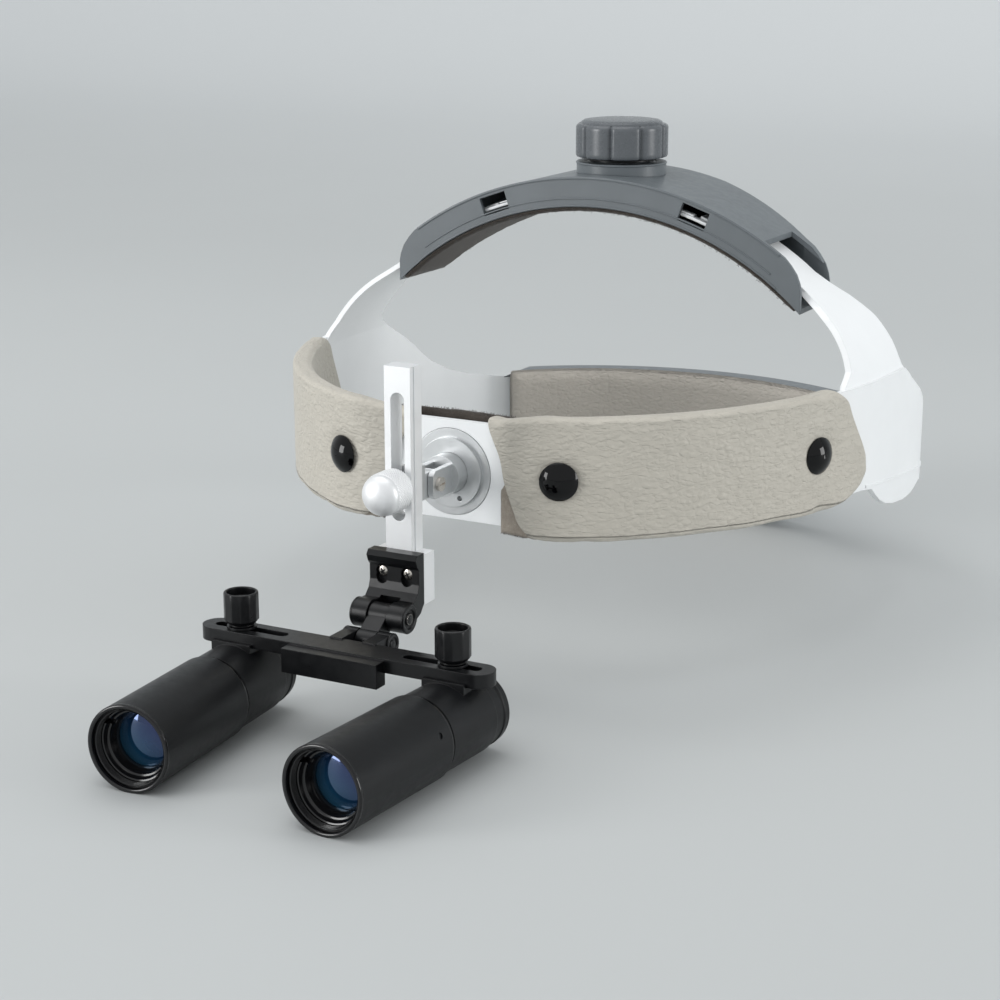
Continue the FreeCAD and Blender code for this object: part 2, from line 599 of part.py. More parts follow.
# ---------------------------------------------------------------- front mount
disc_blank = cylinder("disc_blank", "$disc_radius", 1.9, (0, DY + 1.3, DZ), "+Y")
disc_step = cylinder("disc_step", "$disc_radius - 2.6", 1.4, (0, DY, DZ), "+Y")
disc_boss = cylinder("disc_boss", 5.3, 2.5, (0, DY + 3.1, DZ), "+Y")
disc_bore = cylinder("disc_bore", "$socket_radius + $run_fit", 1.8, (0, DY - 0.1, DZ), "+Y")
disc_shaft = cylinder("disc_shaft_bore", 3.0 + v["run_fit"], 20.0, (0, DY - 5, DZ), "+Y")
disc_pin = cylinder("disc_small_hole", 0.8, 2.2, (3.6, DY - 0.2, DZ - 7.6), "+Y")
node("mount_disc", cut("mount_disc", fuse("disc_solid", disc_blank, disc_step, disc_boss), disc_bore, disc_shaft, disc_pin))
nut_blank = cylinder("mount_nut_blank", 8.2, 2.2, (0, DY + 5.65, DZ), "+Y")
nut_hole = cylinder("mount_nut_hole", 3.0, 9.0, (0, DY + 4, DZ), "+Y")
node("mount_nut", cut("mount_nut", nut_blank, nut_hole))

# swivel socket turns in the disc and carries the clevis of the tilt joint
TY = v["tilt_y"]
socket_base = cylinder("socket_base", "$socket_radius", DY + 1.6 - (DY - 5.2), (0, DY - 5.2, DZ), "+Y")
socket_shaft = cylinder("socket_shaft", 3.0, 7.8, (0, DY + 0.2, DZ), "+Y")
ear_left = box("socket_ear_left", (1.8, 12.2, 8.4), (2.1, TY - 3.4, DZ - 4.2))
ear_right = box("socket_ear_right", (1.8, 12.2, 8.4), (-3.9, TY - 3.4, DZ - 4.2))
ear_round = cylinder("socket_ear_round", 4.9, 30.0, (-15, TY + 0.6, DZ), "+X")
ear_keep = box("socket_ear_keep", (40.0, 30.0, 30.0), (-20, TY + 0.6, DZ - 15))
ear_shape = common("socket_ears", fuse("socket_ear_pair", ear_left, ear_right), fuse("socket_ear_form", ear_round, ear_keep))
tilt_hole = cylinder("socket_tilt_hole", "$tilt_pin_radius", 20.0, (-10, TY, DZ), "+X")
node("swivel_socket", cut("swivel_socket", fuse("socket_solid", socket_base, socket_shaft, ear_shape), tilt_hole))
tilt_shank = cylinder("tilt_shank", "$tilt_pin_radius", 8.0, (-4.0, TY, DZ), "+X")
tilt_head = cylinder("tilt_head", 2.1, 1.0, (3.95, TY, DZ), "+X")
tilt_slot = box("tilt_slot", (1.0, 3.0, 0.6), (4.5, TY - 1.5, DZ - 0.3))
node("tilt_screw", cut("tilt_screw", fuse("tilt_screw_solid", tilt_shank, tilt_head), tilt_slot))

# tongue block: pivots on the tilt screw, guides the post and holds the clamp screw's nut thread
POST_FRONT = v["post_front_y"]
POST_REAR = POST_FRONT + v["post_depth"]
CZ = 65.8
tongue_round = cylinder("tongue_round", 4.1, 4.0, (-2.0, TY, DZ), "+X")
tongue_stem = box("tongue_stem", (4.0, TY - (POST_REAR + 4.0), 7.6), (-2.0, POST_REAR + 4.0, DZ - 3.8))
tongue_block = box("tongue_block", (5.6, 4.2, 9.6), (-2.8, POST_REAR + 0.15, CZ - 4.8))
tongue_hole = cylinder("tongue_tilt_hole", "$tilt_pin_radius + $run_fit", 20.0, (-10, TY, DZ), "+X")
clamp_thread = cylinder("tongue_clamp_hole", "$clamp_shank_radius + $run_fit", 9.0, (0, POST_REAR - 4, CZ), "+Y")
tongue = cut(
    "post_guide",
    fuse("tongue_solid", tongue_round, tongue_stem, tongue_block),
    tongue_hole,
    clamp_thread,
)
node("post_guide", tongue)

# post with its slot, foot block
post_blank = box("post_blank", ("$post_width", "$post_depth", "$post_top_z - $post_bottom_z"),
                 (-v["post_width"] / 2, POST_FRONT, v["post_bottom_z"]))
slot_box = box("post_slot_box", ("$slot_width", 20.0, "$slot_high_z - $slot_low_z - $slot_width"),
               (-v["slot_width"] / 2, POST_FRONT - 5, v["slot_low_z"] + v["slot_width"] / 2))
slot_top = cylinder("post_slot_top", "$slot_width / 2", 20.0, (0, POST_FRONT - 5, v["slot_high_z"] - v["slot_width"] / 2), "+Y")
slot_low = cylinder("post_slot_low", "$slot_width / 2", 20.0, (0, POST_FRONT - 5, v["slot_low_z"] + v["slot_width"] / 2), "+Y")
grooves = []
for sign in (1, -1):
    x0 = v["post_width"] / 2 - 0.5 if sign > 0 else -v["post_width"] / 2 - 0.5
    grooves.append(box("post_groove_%d" % (sign + 1), (1.0, 0.7, 80.0), (x0, POST_FRONT + 1.5, 40.0)))
post_solid = cut("post_slotted", post_blank, slot_box, slot_top, slot_low, *grooves)
foot = box("foot_block", ("$foot_width", "$foot_depth", "$post_bottom_z - $foot_low_z + 0.4"),
           (-v["foot_width"] / 2, POST_FRONT, v["foot_low_z"]))
SX = 4.1
SZ = 41.2
foot_holes = [cylinder("foot_hole_%d" % i, 1.0, 12.0, (x, POST_FRONT - 3, SZ), "+Y") for i, x in enumerate((-SX, SX))]
node("height_post", cut("height_post", fuse("post_solid", post_solid, foot), *foot_holes))

# clamp thumb screw: knurled rim, domed head, shank through the slot
head_back = POST_FRONT - 1.0
knurl_ridges = []
for i in range(36):
    angle = 2 * math.pi * i / 36
    groove = Part.makeBox(0.9, 0.5, v["clamp_knurl"] + 2, Vector(v["clamp_radius"] - 0.28, -0.25, -1))
    groove.rotate(Vector(0, 0, 0), Vector(0, 0, 1), math.degrees(angle))
    knurl_ridges.append(groove)
knurl_set = doc.addObject("Part::Feature", "clamp_knurl_set")
knurl_set.Shape = Part.makeCompound(knurl_ridges)
knurl_set.Placement = Placement(Vector(0, head_back, CZ), AXES["-Y"])
clamp_rim = cylinder("clamp_rim", "$clamp_radius", "$clamp_knurl", (0, head_back, CZ), "-Y")
clamp_dome = doc.addObject("Part::Sphere", "clamp_dome")
bind(clamp_dome, Radius="$clamp_radius - 0.2")
clamp_dome.Placement = Placement(Vector(0, head_back - v["clamp_knurl"], CZ), Rotation())
dome_keep = box("clamp_dome_keep", (20.0, 20.0, 20.0), (-10, head_back - v["clamp_knurl"] - 20, CZ - 10))
clamp_shank = cylinder("clamp_shank", "$clamp_shank_radius", 12.4, (0, head_back - 0.2, CZ), "+Y")
clamp = fuse("clamp_screw", cut("clamp_grip", clamp_rim, knurl_set), common("clamp_cap", clamp_dome, dome_keep), clamp_shank)
node("clamp_screw", clamp)
washer_blank = cylinder("clamp_washer_blank", 4.6, 0.8, (0, POST_FRONT - 0.9, CZ), "+Y")
washer_hole = cylinder("clamp_washer_hole", "$clamp_shank_radius + $run_fit", 3.0, (0, POST_FRONT - 2, CZ), "+Y")
node("clamp_washer", cut("clamp_washer", washer_blank, washer_hole))

# ---------------------------------------------------------------- black bracket and double hinge
FY, FZ = v["flip_y"], v["flip_z"]
GY, GZ = v["tip_y"], v["tip_z"]
FACE = POST_FRONT - 0.05
BRACKET_SIDE = [
    (FACE, 32.6), (FACE, 47.6), (FACE - 3.6, 47.6), (FACE - 4.6, 46.2), (FACE - 3.8, 44.2), (FACE - 2.8, 43.0),
    (FACE - 2.8, 38.6), (FACE - 3.6, 36.2), (FACE - 5.6, 34.2), (FY + 1.0, 34.2), (FY + 3.6, 28.4), (FACE - 2.0, 30.0),
]
bracket_body = sketch_pad("bracket_body", polygon(BRACKET_SIDE), "YZ_Plane", "$foot_width", -v["foot_width"] / 2)
flip_barrel = cylinder("bracket_barrel", "$flip_radius", "$foot_width", (-v["foot_width"] / 2, FY, FZ), "+X")
GAP = 3.3
mid_gap = box("bracket_gap", (2 * GAP, 12.0, 12.0), (-GAP, FY - 6.4, FZ - 7.6))
mid_round = cylinder("bracket_gap_round", "$flip_radius + 0.5", 2 * GAP, (-GAP, FY, FZ), "+X")
flip_hole = cylinder("bracket_pin_hole", "$flip_pin_radius", 30.0, (-15, FY, FZ), "+X")
recesses = []
for i, x in enumerate((-SX, SX)):
    recesses.append(cylinder("bracket_recess_%d" % i, 1.9, 4.0, (x, FACE - 1.2, SZ), "-Y"))
    recesses.append(cylinder("bracket_recess_low_%d" % i, 1.9, 4.0, (x, FACE - 1.2, SZ - 1.6), "-Y"))
    recesses.append(cylinder("bracket_screw_hole_%d" % i, 1.0, 6.0, (x, FACE + 1, SZ), "-Y"))
bracket = cut("hinge_bracket", fuse("bracket_solid", bracket_body, flip_barrel), mid_gap, mid_round, flip_hole, *recesses)
node("hinge_bracket", bracket)
screws = []
for i, x in enumerate((-SX, SX)):
    head = cylinder("bracket_screw_head_%d" % i, 1.8, 1.3, (x, FACE - 1.2, SZ), "-Y")
    shank = cylinder("bracket_screw_shank_%d" % i, 1.0, 6.0, (x, FACE - 1.3, SZ), "+Y")
    drive = cylinder("bracket_screw_drive_%d" % i, 0.8, 0.9, (x, FACE - 1.8, SZ), "-Y")
    screws.append(cut("bracket_screw_%d" % i, fuse("bracket_screw_solid_%d" % i, head, shank), drive))
node("bracket_screws", fuse("bracket_screws", *screws))
flip_pin = cylinder("flip_pin_shank", "$flip_pin_radius", "$foot_width + 1.4", (-v["foot_width"] / 2 - 0.7, FY, FZ), "+X")
node("flip_pin", flip_pin)

link_up = cylinder("link_upper", "$flip_radius - 0.6", 2 * GAP - 0.6, (-GAP + 0.3, FY, FZ), "+X")
link_low = cylinder("link_lower", "$tip_radius - 0.1", 2 * GAP - 0.6, (-GAP + 0.3, GY, GZ), "+X")
span = math.hypot(GY - FY, GZ - FZ)
link_plate = bind(doc.addObject("Part::Box", "link_plate"), Length=2 * GAP - 0.6, Width=span, Height=5.2)
slope = math.degrees(math.atan2(GZ - FZ, GY - FY))
link_turn = Rotation(Vector(1, 0, 0), slope)
link_plate.Placement = Placement(Vector(-GAP + 0.3, FY, FZ) + link_turn.multVec(Vector(0, 0, -2.6)), link_turn)
link_hole_up = cylinder("link_hole_up", "$flip_pin_radius + $run_fit", 20.0, (-10, FY, FZ), "+X")
link_hole_low = cylinder("link_hole_low", "$tip_pin_radius", 20.0, (-10, GY, GZ), "+X")
node("hinge_link", cut("hinge_link", fuse("link_solid", link_up, link_low, link_plate), link_hole_up, link_hole_low))
tip_pin = cylinder("tip_pin_shank", "$tip_pin_radius", 15.4, (-7.7, GY, GZ), "+X")
node("tip_pin", tip_pin)

# ---------------------------------------------------------------- bridge bar
BAR_Y0 = v["bar_front_y"]
BAR_Y1 = BAR_Y0 + v["bar_width"]
BAR_Z0 = v["bar_low_z"]
BAR_Z1 = BAR_Z0 + v["bar_thick"]
bar_mid = box("bar_middle", ("2 * ($bar_half_length - $bar_width / 2)", "$bar_width", "$bar_thick"),
              (-(v["bar_half_length"] - v["bar_width"] / 2), BAR_Y0, BAR_Z0))
bar_parts = [bar_mid]
bar_tools = []
for sign in (1, -1):
    x_end = sign * (v["bar_half_length"] - v["bar_width"] / 2)
    bar_parts.append(cylinder("bar_end_%d" % (sign + 1), "$bar_width / 2", "$bar_thick", (x_end, (BAR_Y0 + BAR_Y1) / 2, BAR_Z0)))
    for x in (20.6, 41.4):
        bar_tools.append(cylinder("bar_slot_end_%d_%d" % (sign + 1, int(x)), "$bar_slot_width / 2", 12.0,
                                  (sign * x, v["screw_y"], BAR_Z0 - 4)))
    x0 = 20.6 if sign > 0 else -41.4
    bar_tools.append(box("bar_slot_%d" % (sign + 1), (20.8, "$bar_slot_width", 12.0),
                         (x0, v["screw_y"] - v["bar_slot_width"] / 2, BAR_Z0 - 4)))
bar_parts.append(box("bar_plaque", ("2 * $plaque_half", "$plaque_proud + 0.6", 7.0),
                     (-v["plaque_half"], BAR_Y0 - v["plaque_proud"], v["plaque_low_z"])))
knuckle_parts = []
for sign in (1, -1):
    x0 = GAP if sign > 0 else -7.4
    knuckle_parts.append(cylinder("bar_knuckle_%d" % (sign + 1), "$tip_radius", 7.4 - GAP, (x0, GY, GZ), "+X"))
    knuckle_parts.append(box("bar_knuckle_web_%d" % (sign + 1), (7.4 - GAP, GY - BAR_Y1 + 1.0, 5.0), (x0, BAR_Y1 - 1.0, BAR_Z0 - 0.6)))
bar_parts += knuckle_parts
tip_hole = cylinder("bar_pin_hole", "$tip_pin_radius + $run_fit", 30.0, (-15, GY, GZ), "+X")
link_room = cylinder("bar_link_room", "$tip_radius + 0.5", 2 * GAP, (-GAP, GY, GZ), "+X")
node("bridge_bar", cut("bridge_bar", fuse("bar_solid", *bar_parts), *bar_tools, link_room, tip_hole))

# ---------------------------------------------------------------- barrels, one set each side
BR = v["barrel_radius"]
AXIS_Z = BR


def barrel_axis(sign):
    turn = math.radians(v["converge_angle"])
    front = Vector(sign * v["objective_half"], v["objective_y"], AXIS_Z)
    return front, Vector(sign * math.sin(turn), math.cos(turn), 0)


def on_axis(name, radius, height, sign, start):
    front, direction = barrel_axis(sign)
    return along(name, radius, height, front, direction, start)


def ring_on_axis(name, outer, inner, height, sign, start):
    solid = on_axis(name + "_outer", outer, height, sign, start)
    hole = on_axis(name + "_inner", inner, 100.0, sign, start - 20)
    return cut(name, solid, hole)


for side, sign in (("left", 1), ("right", -1)):
    tag = side + "_"
    front, direction = barrel_axis(sign)
    # tube: thin rim, threaded mouth, lens seat, then a neck that the yoke clamps
    tube = on_axis(tag + "tube", "$barrel_radius", "$barrel_tube", sign, 0.0)
    neck = on_axis(tag + "tube_neck", "$neck_bore", "$yoke_length + 4.4", sign, v["barrel_tube"] - 0.5)
    mouth = on_axis(tag + "tube_mouth", "$barrel_radius - 1.1", 1.6, sign, -0.1)
    mouth2 = on_axis(tag + "tube_mouth2", "$barrel_radius - 1.7", 9.0, sign, -0.1)
    bore = on_axis(tag + "tube_bore", "$neck_bore - 1.6", 100.0, sign, -1.0)
    side_hole = doc.addObject("Part::Cylinder", tag + "tube_side_hole")
    bind(side_hole, Radius=0.9, Height=6.0)
    outward = Vector(sign * 0.92, 0, 0.39)
    side_hole.Placement = Placement(front + direction * 36.0 + outward * (BR - 1.5), Rotation(Vector(0, 0, 1), outward))
    barrel = cut(tag + "barrel", fuse(tag + "barrel_solid", tube, neck), mouth, mouth2, bore, side_hole)
    node(tag + "barrel", barrel)
    set_screw = doc.addObject("Part::Cylinder", tag + "focus_screw_body")
    bind(set_screw, Radius=0.9, Height=1.2)
    set_screw.Placement = Placement(front + direction * 36.0 + outward * (BR - 1.5), Rotation(Vector(0, 0, 1), outward))
    node(tag + "set_screw", set_screw)
    retainer = ring_on_axis(tag + "retainer", "$barrel_radius - 1.7", "$lens_radius - 0.2", 3.2, sign, 4.6)
    slots = []
    for turn_to in (0, 180):
        slot = doc.addObject("Part::Feature", tag + "retainer_slot_%d" % turn_to)
        slot.Shape = Part.makeBox(4.0, 1.2, 1.2, Vector(v["lens_radius"] - 0.6, -0.6, -0.1))
        spin = Rotation(Vector(0, 0, 1), turn_to + 35)
        slot.Placement = Placement(front + direction * 4.6, Rotation(Vector(0, 0, 1), direction) * spin)
        slots.append(slot)
    node(tag + "lens_ring", cut(tag + "lens_ring", retainer, *slots))
    lens_disc = on_axis(tag + "lens_edge", "$neck_bore - 1.65", 2.6, sign, 8.4)
    node(tag + "objective_lens", lens_disc)
    node(tag + "prism_cell", ring_on_axis(tag + "prism_cell", "$neck_bore - 1.65", 5.4, 12.0, sign, 24.0))
    eye_lens = on_axis(tag + "eye_lens_disc", "$neck_bore - 2.2", 2.4, sign, 68.6)
    node(tag + "eye_lens", eye_lens)
    # eyepiece: rounded rear cup pushed over the end of the neck
    eye_start = v["yoke_start"] + v["yoke_length"] + 0.3
    eye_body = on_axis(tag + "eye_body", "$eyepiece_radius", "$eyepiece_length - 2.2", sign, eye_start)
    eye_round = bind(doc.addObject("Part::Cone", tag + "eye_round"), Radius1="$eyepiece_radius", Radius2="$eyepiece_radius - 1.6", Height=2.2)
    eye_round.Placement = Placement(front + direction * (eye_start + v["eyepiece_length"] - 2.2), Rotation(Vector(0, 0, 1), direction))
    eye_seat = on_axis(tag + "eye_seat", "$neck_bore", 3.2, sign, eye_start - 1.0)
    eye_open = on_axis(tag + "eye_open", "$neck_bore - 2.2", 30.0, sign, eye_start - 2)
    node(tag + "eyepiece", cut(tag + "eyepiece", fuse(tag + "eye_solid", eye_body, eye_round), eye_seat, eye_open))
    # yoke: clamp ring hung under the bar, with a flat seat and side rails that keep it square
    yoke_ring = on_axis(tag + "yoke_ring", "$barrel_radius - 0.6", "$yoke_length", sign, v["yoke_start"])
    screw_x = front.x + direction.x / direction.y * (v["screw_y"] - front.y)
    boss = box(tag + "yoke_boss", (13.0, 9.4, 9.0), (screw_x - 6.5, v["screw_y"] - 6.0, AXIS_Z + 6.0))
    yoke_bore = on_axis(tag + "yoke_bore", "$neck_bore", 100.0, sign, 0.0)
    seat = box(tag + "yoke_seat", (60.0, "$bar_width + 0.5", 10.0), (screw_x - 30, BAR_Y0 - 0.25, BAR_Z0 - 0.1))
    trim = box(tag + "yoke_trim", (60.0, 60.0, 10.0), (screw_x - 30, v["screw_y"] - 30, AXIS_Z + BR + 0.05))
    thread = cylinder(tag + "yoke_thread", "$screw_shank_radius + $run_fit", 3.0, (screw_x, v["screw_y"], BAR_Z0 - 1.3))
    node(tag + "yoke", cut(tag + "yoke", fuse(tag + "yoke_solid", yoke_ring, boss), yoke_bore, seat, trim, thread))
    # thumb screw over a thin washer
    head_low = BAR_Z1 + 1.3
    grip = cylinder(tag + "screw_grip", "$screw_radius", "$screw_head - 1.2", (screw_x, v["screw_y"], head_low + 1.2))
    grip_low = cone(tag + "screw_chamfer", 4.1, 5.0, 1.2, (screw_x, v["screw_y"], head_low))
    cup = cylinder(tag + "screw_cup", 4.1, 3.0, (screw_x, v["screw_y"], head_low + v["screw_head"] - 2.6))
    dot = cylinder(tag + "screw_dot", 0.7, 3.0, (screw_x, v["screw_y"], head_low + v["screw_head"] - 4.2))
    neck2 = cylinder(tag + "screw_neck", 3.0, 0.7, (screw_x, v["screw_y"], head_low - 0.5))
    shank = cylinder(tag + "screw_shank", "$screw_shank_radius", 7.2, (screw_x, v["screw_y"], BAR_Z0 - 1.0))
    node(tag + "thumb_screw", cut(tag + "thumb_screw", fuse(tag + "screw_solid", grip, grip_low, neck2, shank), cup, dot))
    pad_ring = cylinder(tag + "washer_blank", 4.2, 0.7, (screw_x, v["screw_y"], BAR_Z1 + 0.05))
    pad_hole = cylinder(tag + "washer_hole", "$screw_shank_radius + $run_fit", 3.0, (screw_x, v["screw_y"], BAR_Z1 - 1))
    node(tag + "washer", cut(tag + "washer", pad_ring, pad_hole))

doc.recompute()

bad = []
for obj in doc.Objects:
    if any(word in obj.State for word in ("Invalid", "Error")):
        bad.append("%s %s" % (obj.Name, obj.State))
for name, obj in NODES:
    shape = obj.Shape
    if shape.isNull() or not shape.isValid() or shape.Volume <= 0:
        bad.append("%s has no valid shape" % name)
if bad:
    raise RuntimeError("; ".join(bad))

os.makedirs("parts", exist_ok=True)
low = [1e9] * 3
high = [-1e9] * 3
for name, obj in NODES:
    obj.Shape.exportStep("parts/%s.step" % name)
    bounds = obj.Shape.BoundBox
    low = [min(a, b) for a, b in zip(low, (bounds.XMin, bounds.YMin, bounds.ZMin))]
    high = [max(a, b) for a, b in zip(high, (bounds.XMax, bounds.YMax, bounds.ZMax))]
    print("%-22s solids %d volume %9.1f  %s" % (name, len(obj.Shape.Solids), obj.Shape.Volume, bounds))
print("box", [round(a, 2) for a in low], [round(a, 2) for a in high])
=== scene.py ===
import json
import math
import random

import bmesh
import bpy
import numpy as np
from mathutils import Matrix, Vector, noise


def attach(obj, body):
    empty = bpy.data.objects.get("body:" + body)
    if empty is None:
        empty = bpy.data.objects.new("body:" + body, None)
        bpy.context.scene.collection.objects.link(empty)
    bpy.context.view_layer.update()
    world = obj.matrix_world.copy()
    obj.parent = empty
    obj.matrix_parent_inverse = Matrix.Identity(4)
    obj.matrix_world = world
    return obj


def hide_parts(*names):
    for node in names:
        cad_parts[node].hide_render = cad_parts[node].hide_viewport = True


# Looks for the dental loupes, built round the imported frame. Lengths in this file are millimetres
# and turn into metres in make(); +Z is up and the loupes look along -Y.

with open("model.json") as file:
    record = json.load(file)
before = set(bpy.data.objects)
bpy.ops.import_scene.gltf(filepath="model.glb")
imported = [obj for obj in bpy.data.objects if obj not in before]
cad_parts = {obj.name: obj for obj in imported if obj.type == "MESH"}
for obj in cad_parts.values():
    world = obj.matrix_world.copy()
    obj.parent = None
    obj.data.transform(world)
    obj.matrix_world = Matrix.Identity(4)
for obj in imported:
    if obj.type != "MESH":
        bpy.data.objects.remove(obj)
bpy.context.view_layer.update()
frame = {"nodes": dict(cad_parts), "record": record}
MM = 0.001
random.seed(7)


def linear(r, g, b):
    """Linear colour from 0-255 screen values."""
    def one(c):
        c /= 255.0
        return c / 12.92 if c <= 0.04045 else ((c + 0.055) / 1.055) ** 2.4
    return (one(r), one(g), one(b), 1.0)


# ---------------------------------------------------------------- camera
camera_data = bpy.data.cameras.new("view")
camera_data.lens = 77.37
camera_data.sensor_width = 36.0
camera_data.clip_start = 0.01
camera = bpy.data.objects.new("view", camera_data)
camera.location = (0.3023, -0.5975, 0.2224)
camera.rotation_euler = (math.radians(74.87), 0.0, math.radians(27.84))
bpy.context.scene.collection.objects.link(camera)
bpy.context.scene.camera = camera
bpy.context.scene.view_settings.view_transform = "Standard"


# ---------------------------------------------------------------- materials
class Graph:
    """A node material built from short calls."""

    def __init__(self, name):
        self.mat = bpy.data.materials.new(name)
        self.mat.use_nodes = True
        self.tree = self.mat.node_tree
        self.tree.nodes.clear()
        self.bsdf = self.add("BsdfPrincipled")
        out = self.add("OutputMaterial")
        self.tree.links.new(self.bsdf.outputs[0], out.inputs["Surface"])

    def add(self, kind, sockets=None, **attributes):
        node = self.tree.nodes.new("ShaderNode" + kind)
        for key, value in attributes.items():
            setattr(node, key, value)
        for key, value in (sockets or {}).items():
            self.set(node, key, value)
        return node

    def set(self, node, key, value):
        socket = node.inputs[key]
        if isinstance(value, bpy.types.NodeSocket):
            self.tree.links.new(value, socket)
        else:
            socket.default_value = value

    def coords(self, stretch=(1, 1, 1), uv=False):
        """Texture coordinates in millimetres, stretched along each axis."""
        source = self.add("TexCoord").outputs["UV" if uv else "Object"]
        size = 1.0 if uv else 1000.0
        return self.add("Mapping", {"Vector": source, "Scale": [size * s for s in stretch]}).outputs[0]

    def ramp(self, value, low, high, out_low=0.0, out_high=1.0, smooth=False):
        node = self.add(
            "MapRange",
            {"Value": value, "From Min": low, "From Max": high, "To Min": out_low, "To Max": out_high},
            interpolation_type="SMOOTHSTEP" if smooth else "LINEAR",
        )
        return node.outputs[0]

    def noise(self, vector, scale, detail=3.0, rough=0.55, distort=0.0):
        sockets = {
            "Vector": vector, "Scale": scale, "Detail": detail, "Roughness": rough, "Distortion": distort,
        }
        return self.add("TexNoise", sockets).outputs[0]

    def cells(self, vector, scale, feature):
        sockets = {"Vector": vector, "Scale": scale, "Randomness": 1.0}
        return self.add("TexVoronoi", sockets, feature=feature).outputs["Distance"]

    def math(self, operation, a, b=0.0):
        node = self.add("Math", operation=operation)
        self.set(node, 0, a)
        self.set(node, 1, b)
        return node.outputs[0]

    def mix(self, amount, a, b):
        """Colour mix; the colour version of the node has its sockets at 0, 6 and 7, and its result at 2."""
        node = self.add("Mix", data_type="RGBA")
        for key, value in ((0, amount), (6, a), (7, b)):
            self.set(node, key, value)
        return node.outputs[2]

    def bump(self, height, distance, strength=1.0, normal=None):
        sockets = {"Height": height, "Distance": distance * MM, "Strength": strength}
        node = self.add("Bump", sockets)
        if normal is not None:
            self.set(node, "Normal", normal)
        return node.outputs[0]

    def finish(self, **sockets):
        for key, value in sockets.items():
            self.set(self.bsdf, key.replace("_", " "), value)
        return self.mat


def scaled(colour, factor):
    return tuple(c * factor for c in colour[:3]) + (1.0,)


def hard(name, colour, rough, metallic=0.0, grain=(2.5, 0.006), mottle=0.05, edge=0.25, rough_spread=0.06,
         **extra):
    """Moulded or machined finish: fine grain (scale, depth), faint mottling, edges eased by edge mm."""
    g = Graph(name)
    at = g.coords()
    cloud = g.noise(at, 0.09, 4.0)
    tone = g.mix(g.ramp(cloud, 0.3, 0.7), scaled(colour, 1 - mottle), scaled(colour, 1 + mottle))
    smear = g.noise(at, 0.4, 5.0, 0.6)
    roughness = g.ramp(smear, 0.25, 0.75, rough - rough_spread, rough + rough_spread)
    normal = g.add("Bevel", {"Radius": edge * MM}, samples=4).outputs[0] if edge else None
    height = g.noise(at, grain[0], 3.0, 0.6)
    normal = g.bump(height, grain[1], 1.0, normal)
    return g.finish(Base_Color=tone, Roughness=roughness, Metallic=metallic, Normal=normal, **extra)


PEBBLE = 0.62
FINE_PEBBLE = 1.1
WARP = 0.9


def leather(name, colour):
    """Soft grained leather: rounded pebbles a little longer than tall, shallow creases along the band."""
    g = Graph(name)

    def inverse(value):
        return g.math("SUBTRACT", 1.0, value)

    flat = g.coords((1, 1, 1), uv=True)
    warp = g.noise(flat, 0.45, 2.0, 0.5)
    shift = g.add(
        "CombineXYZ", {0: g.math("MULTIPLY", warp, WARP), 1: g.math("MULTIPLY", warp, WARP)}
    ).outputs[0]
    longer = g.coords((0.66, 1.0, 1.0), uv=True)
    bent = g.add("VectorMath", {0: longer, 1: shift}, operation="ADD").outputs[0]
    pebble = g.cells(bent, PEBBLE, "SMOOTH_F1")
    groove = g.ramp(g.cells(bent, PEBBLE, "DISTANCE_TO_EDGE"), 0.0, 0.38, smooth=True)
    small = g.cells(bent, FINE_PEBBLE, "SMOOTH_F1")
    crease = g.noise(g.coords((0.28, 0.85, 1.0), uv=True), 0.50, 3.0, 0.5, 0.4)
    fold = g.ramp(g.math("ABSOLUTE", g.math("SUBTRACT", crease, 0.5)), 0.0, 0.06, smooth=True)
    swell = g.noise(g.coords((0.4, 0.9, 1.0), uv=True), 0.20, 3.0, 0.5, 0.4)
    pore = g.noise(flat, 3.6, 2.0, 0.6)
    shade = g.noise(flat, 0.04, 3.0, 0.5)
    tone = g.mix(g.ramp(shade, 0.3, 0.7), scaled(colour, 0.965), scaled(colour, 1.03))
    # painted shade: the grain's grooves and the creases are darkened a little in the colour, standing in for
    # the shade that falls in them
    for shaded_hollow in (fold, groove):
        tone = g.mix(g.math("MULTIPLY", inverse(shaded_hollow), 0.07), tone, scaled(colour, 0.7))
    normal = None
    for height, depth in (
        (swell, 0.22), (fold, 0.08), (inverse(pebble), 0.22),
        (groove, 0.10), (inverse(small), 0.05), (pore, 0.015),
    ):
        normal = g.bump(height, depth, 1.0, normal)
    roughness = g.ramp(pebble, 0.2, 0.9, 0.50, 0.66)
    return g.finish(Base_Color=tone, Roughness=roughness, Normal=normal, Sheen_Weight=0.06,
                    Sheen_Roughness=0.5, Specular_IOR_Level=0.4)


def felt(name, colour, dark=0.45):
    """Short brushed fabric: matted fibres at two scales, with sheen."""
    g = Graph(name)
    at = g.coords()
    hair = g.noise(at, 2.6, 6.0, 0.75, 1.2)
    clump = g.noise(at, 0.55, 4.0, 0.6)
    tone = g.mix(g.ramp(hair, 0.32, 0.68), scaled(colour, dark), scaled(colour, 1.45))
    tone = g.mix(g.math("MULTIPLY", g.ramp(clump, 0.35, 0.65), 0.45), tone, scaled(colour, 0.75))
    normal = g.bump(hair, 0.22, 0.9, g.bump(clump, 0.35, 0.6))
    return g.finish(Base_Color=tone, Roughness=0.93, Normal=normal, Sheen_Weight=0.35, Sheen_Roughness=0.4,
                    Specular_IOR_Level=0.15)


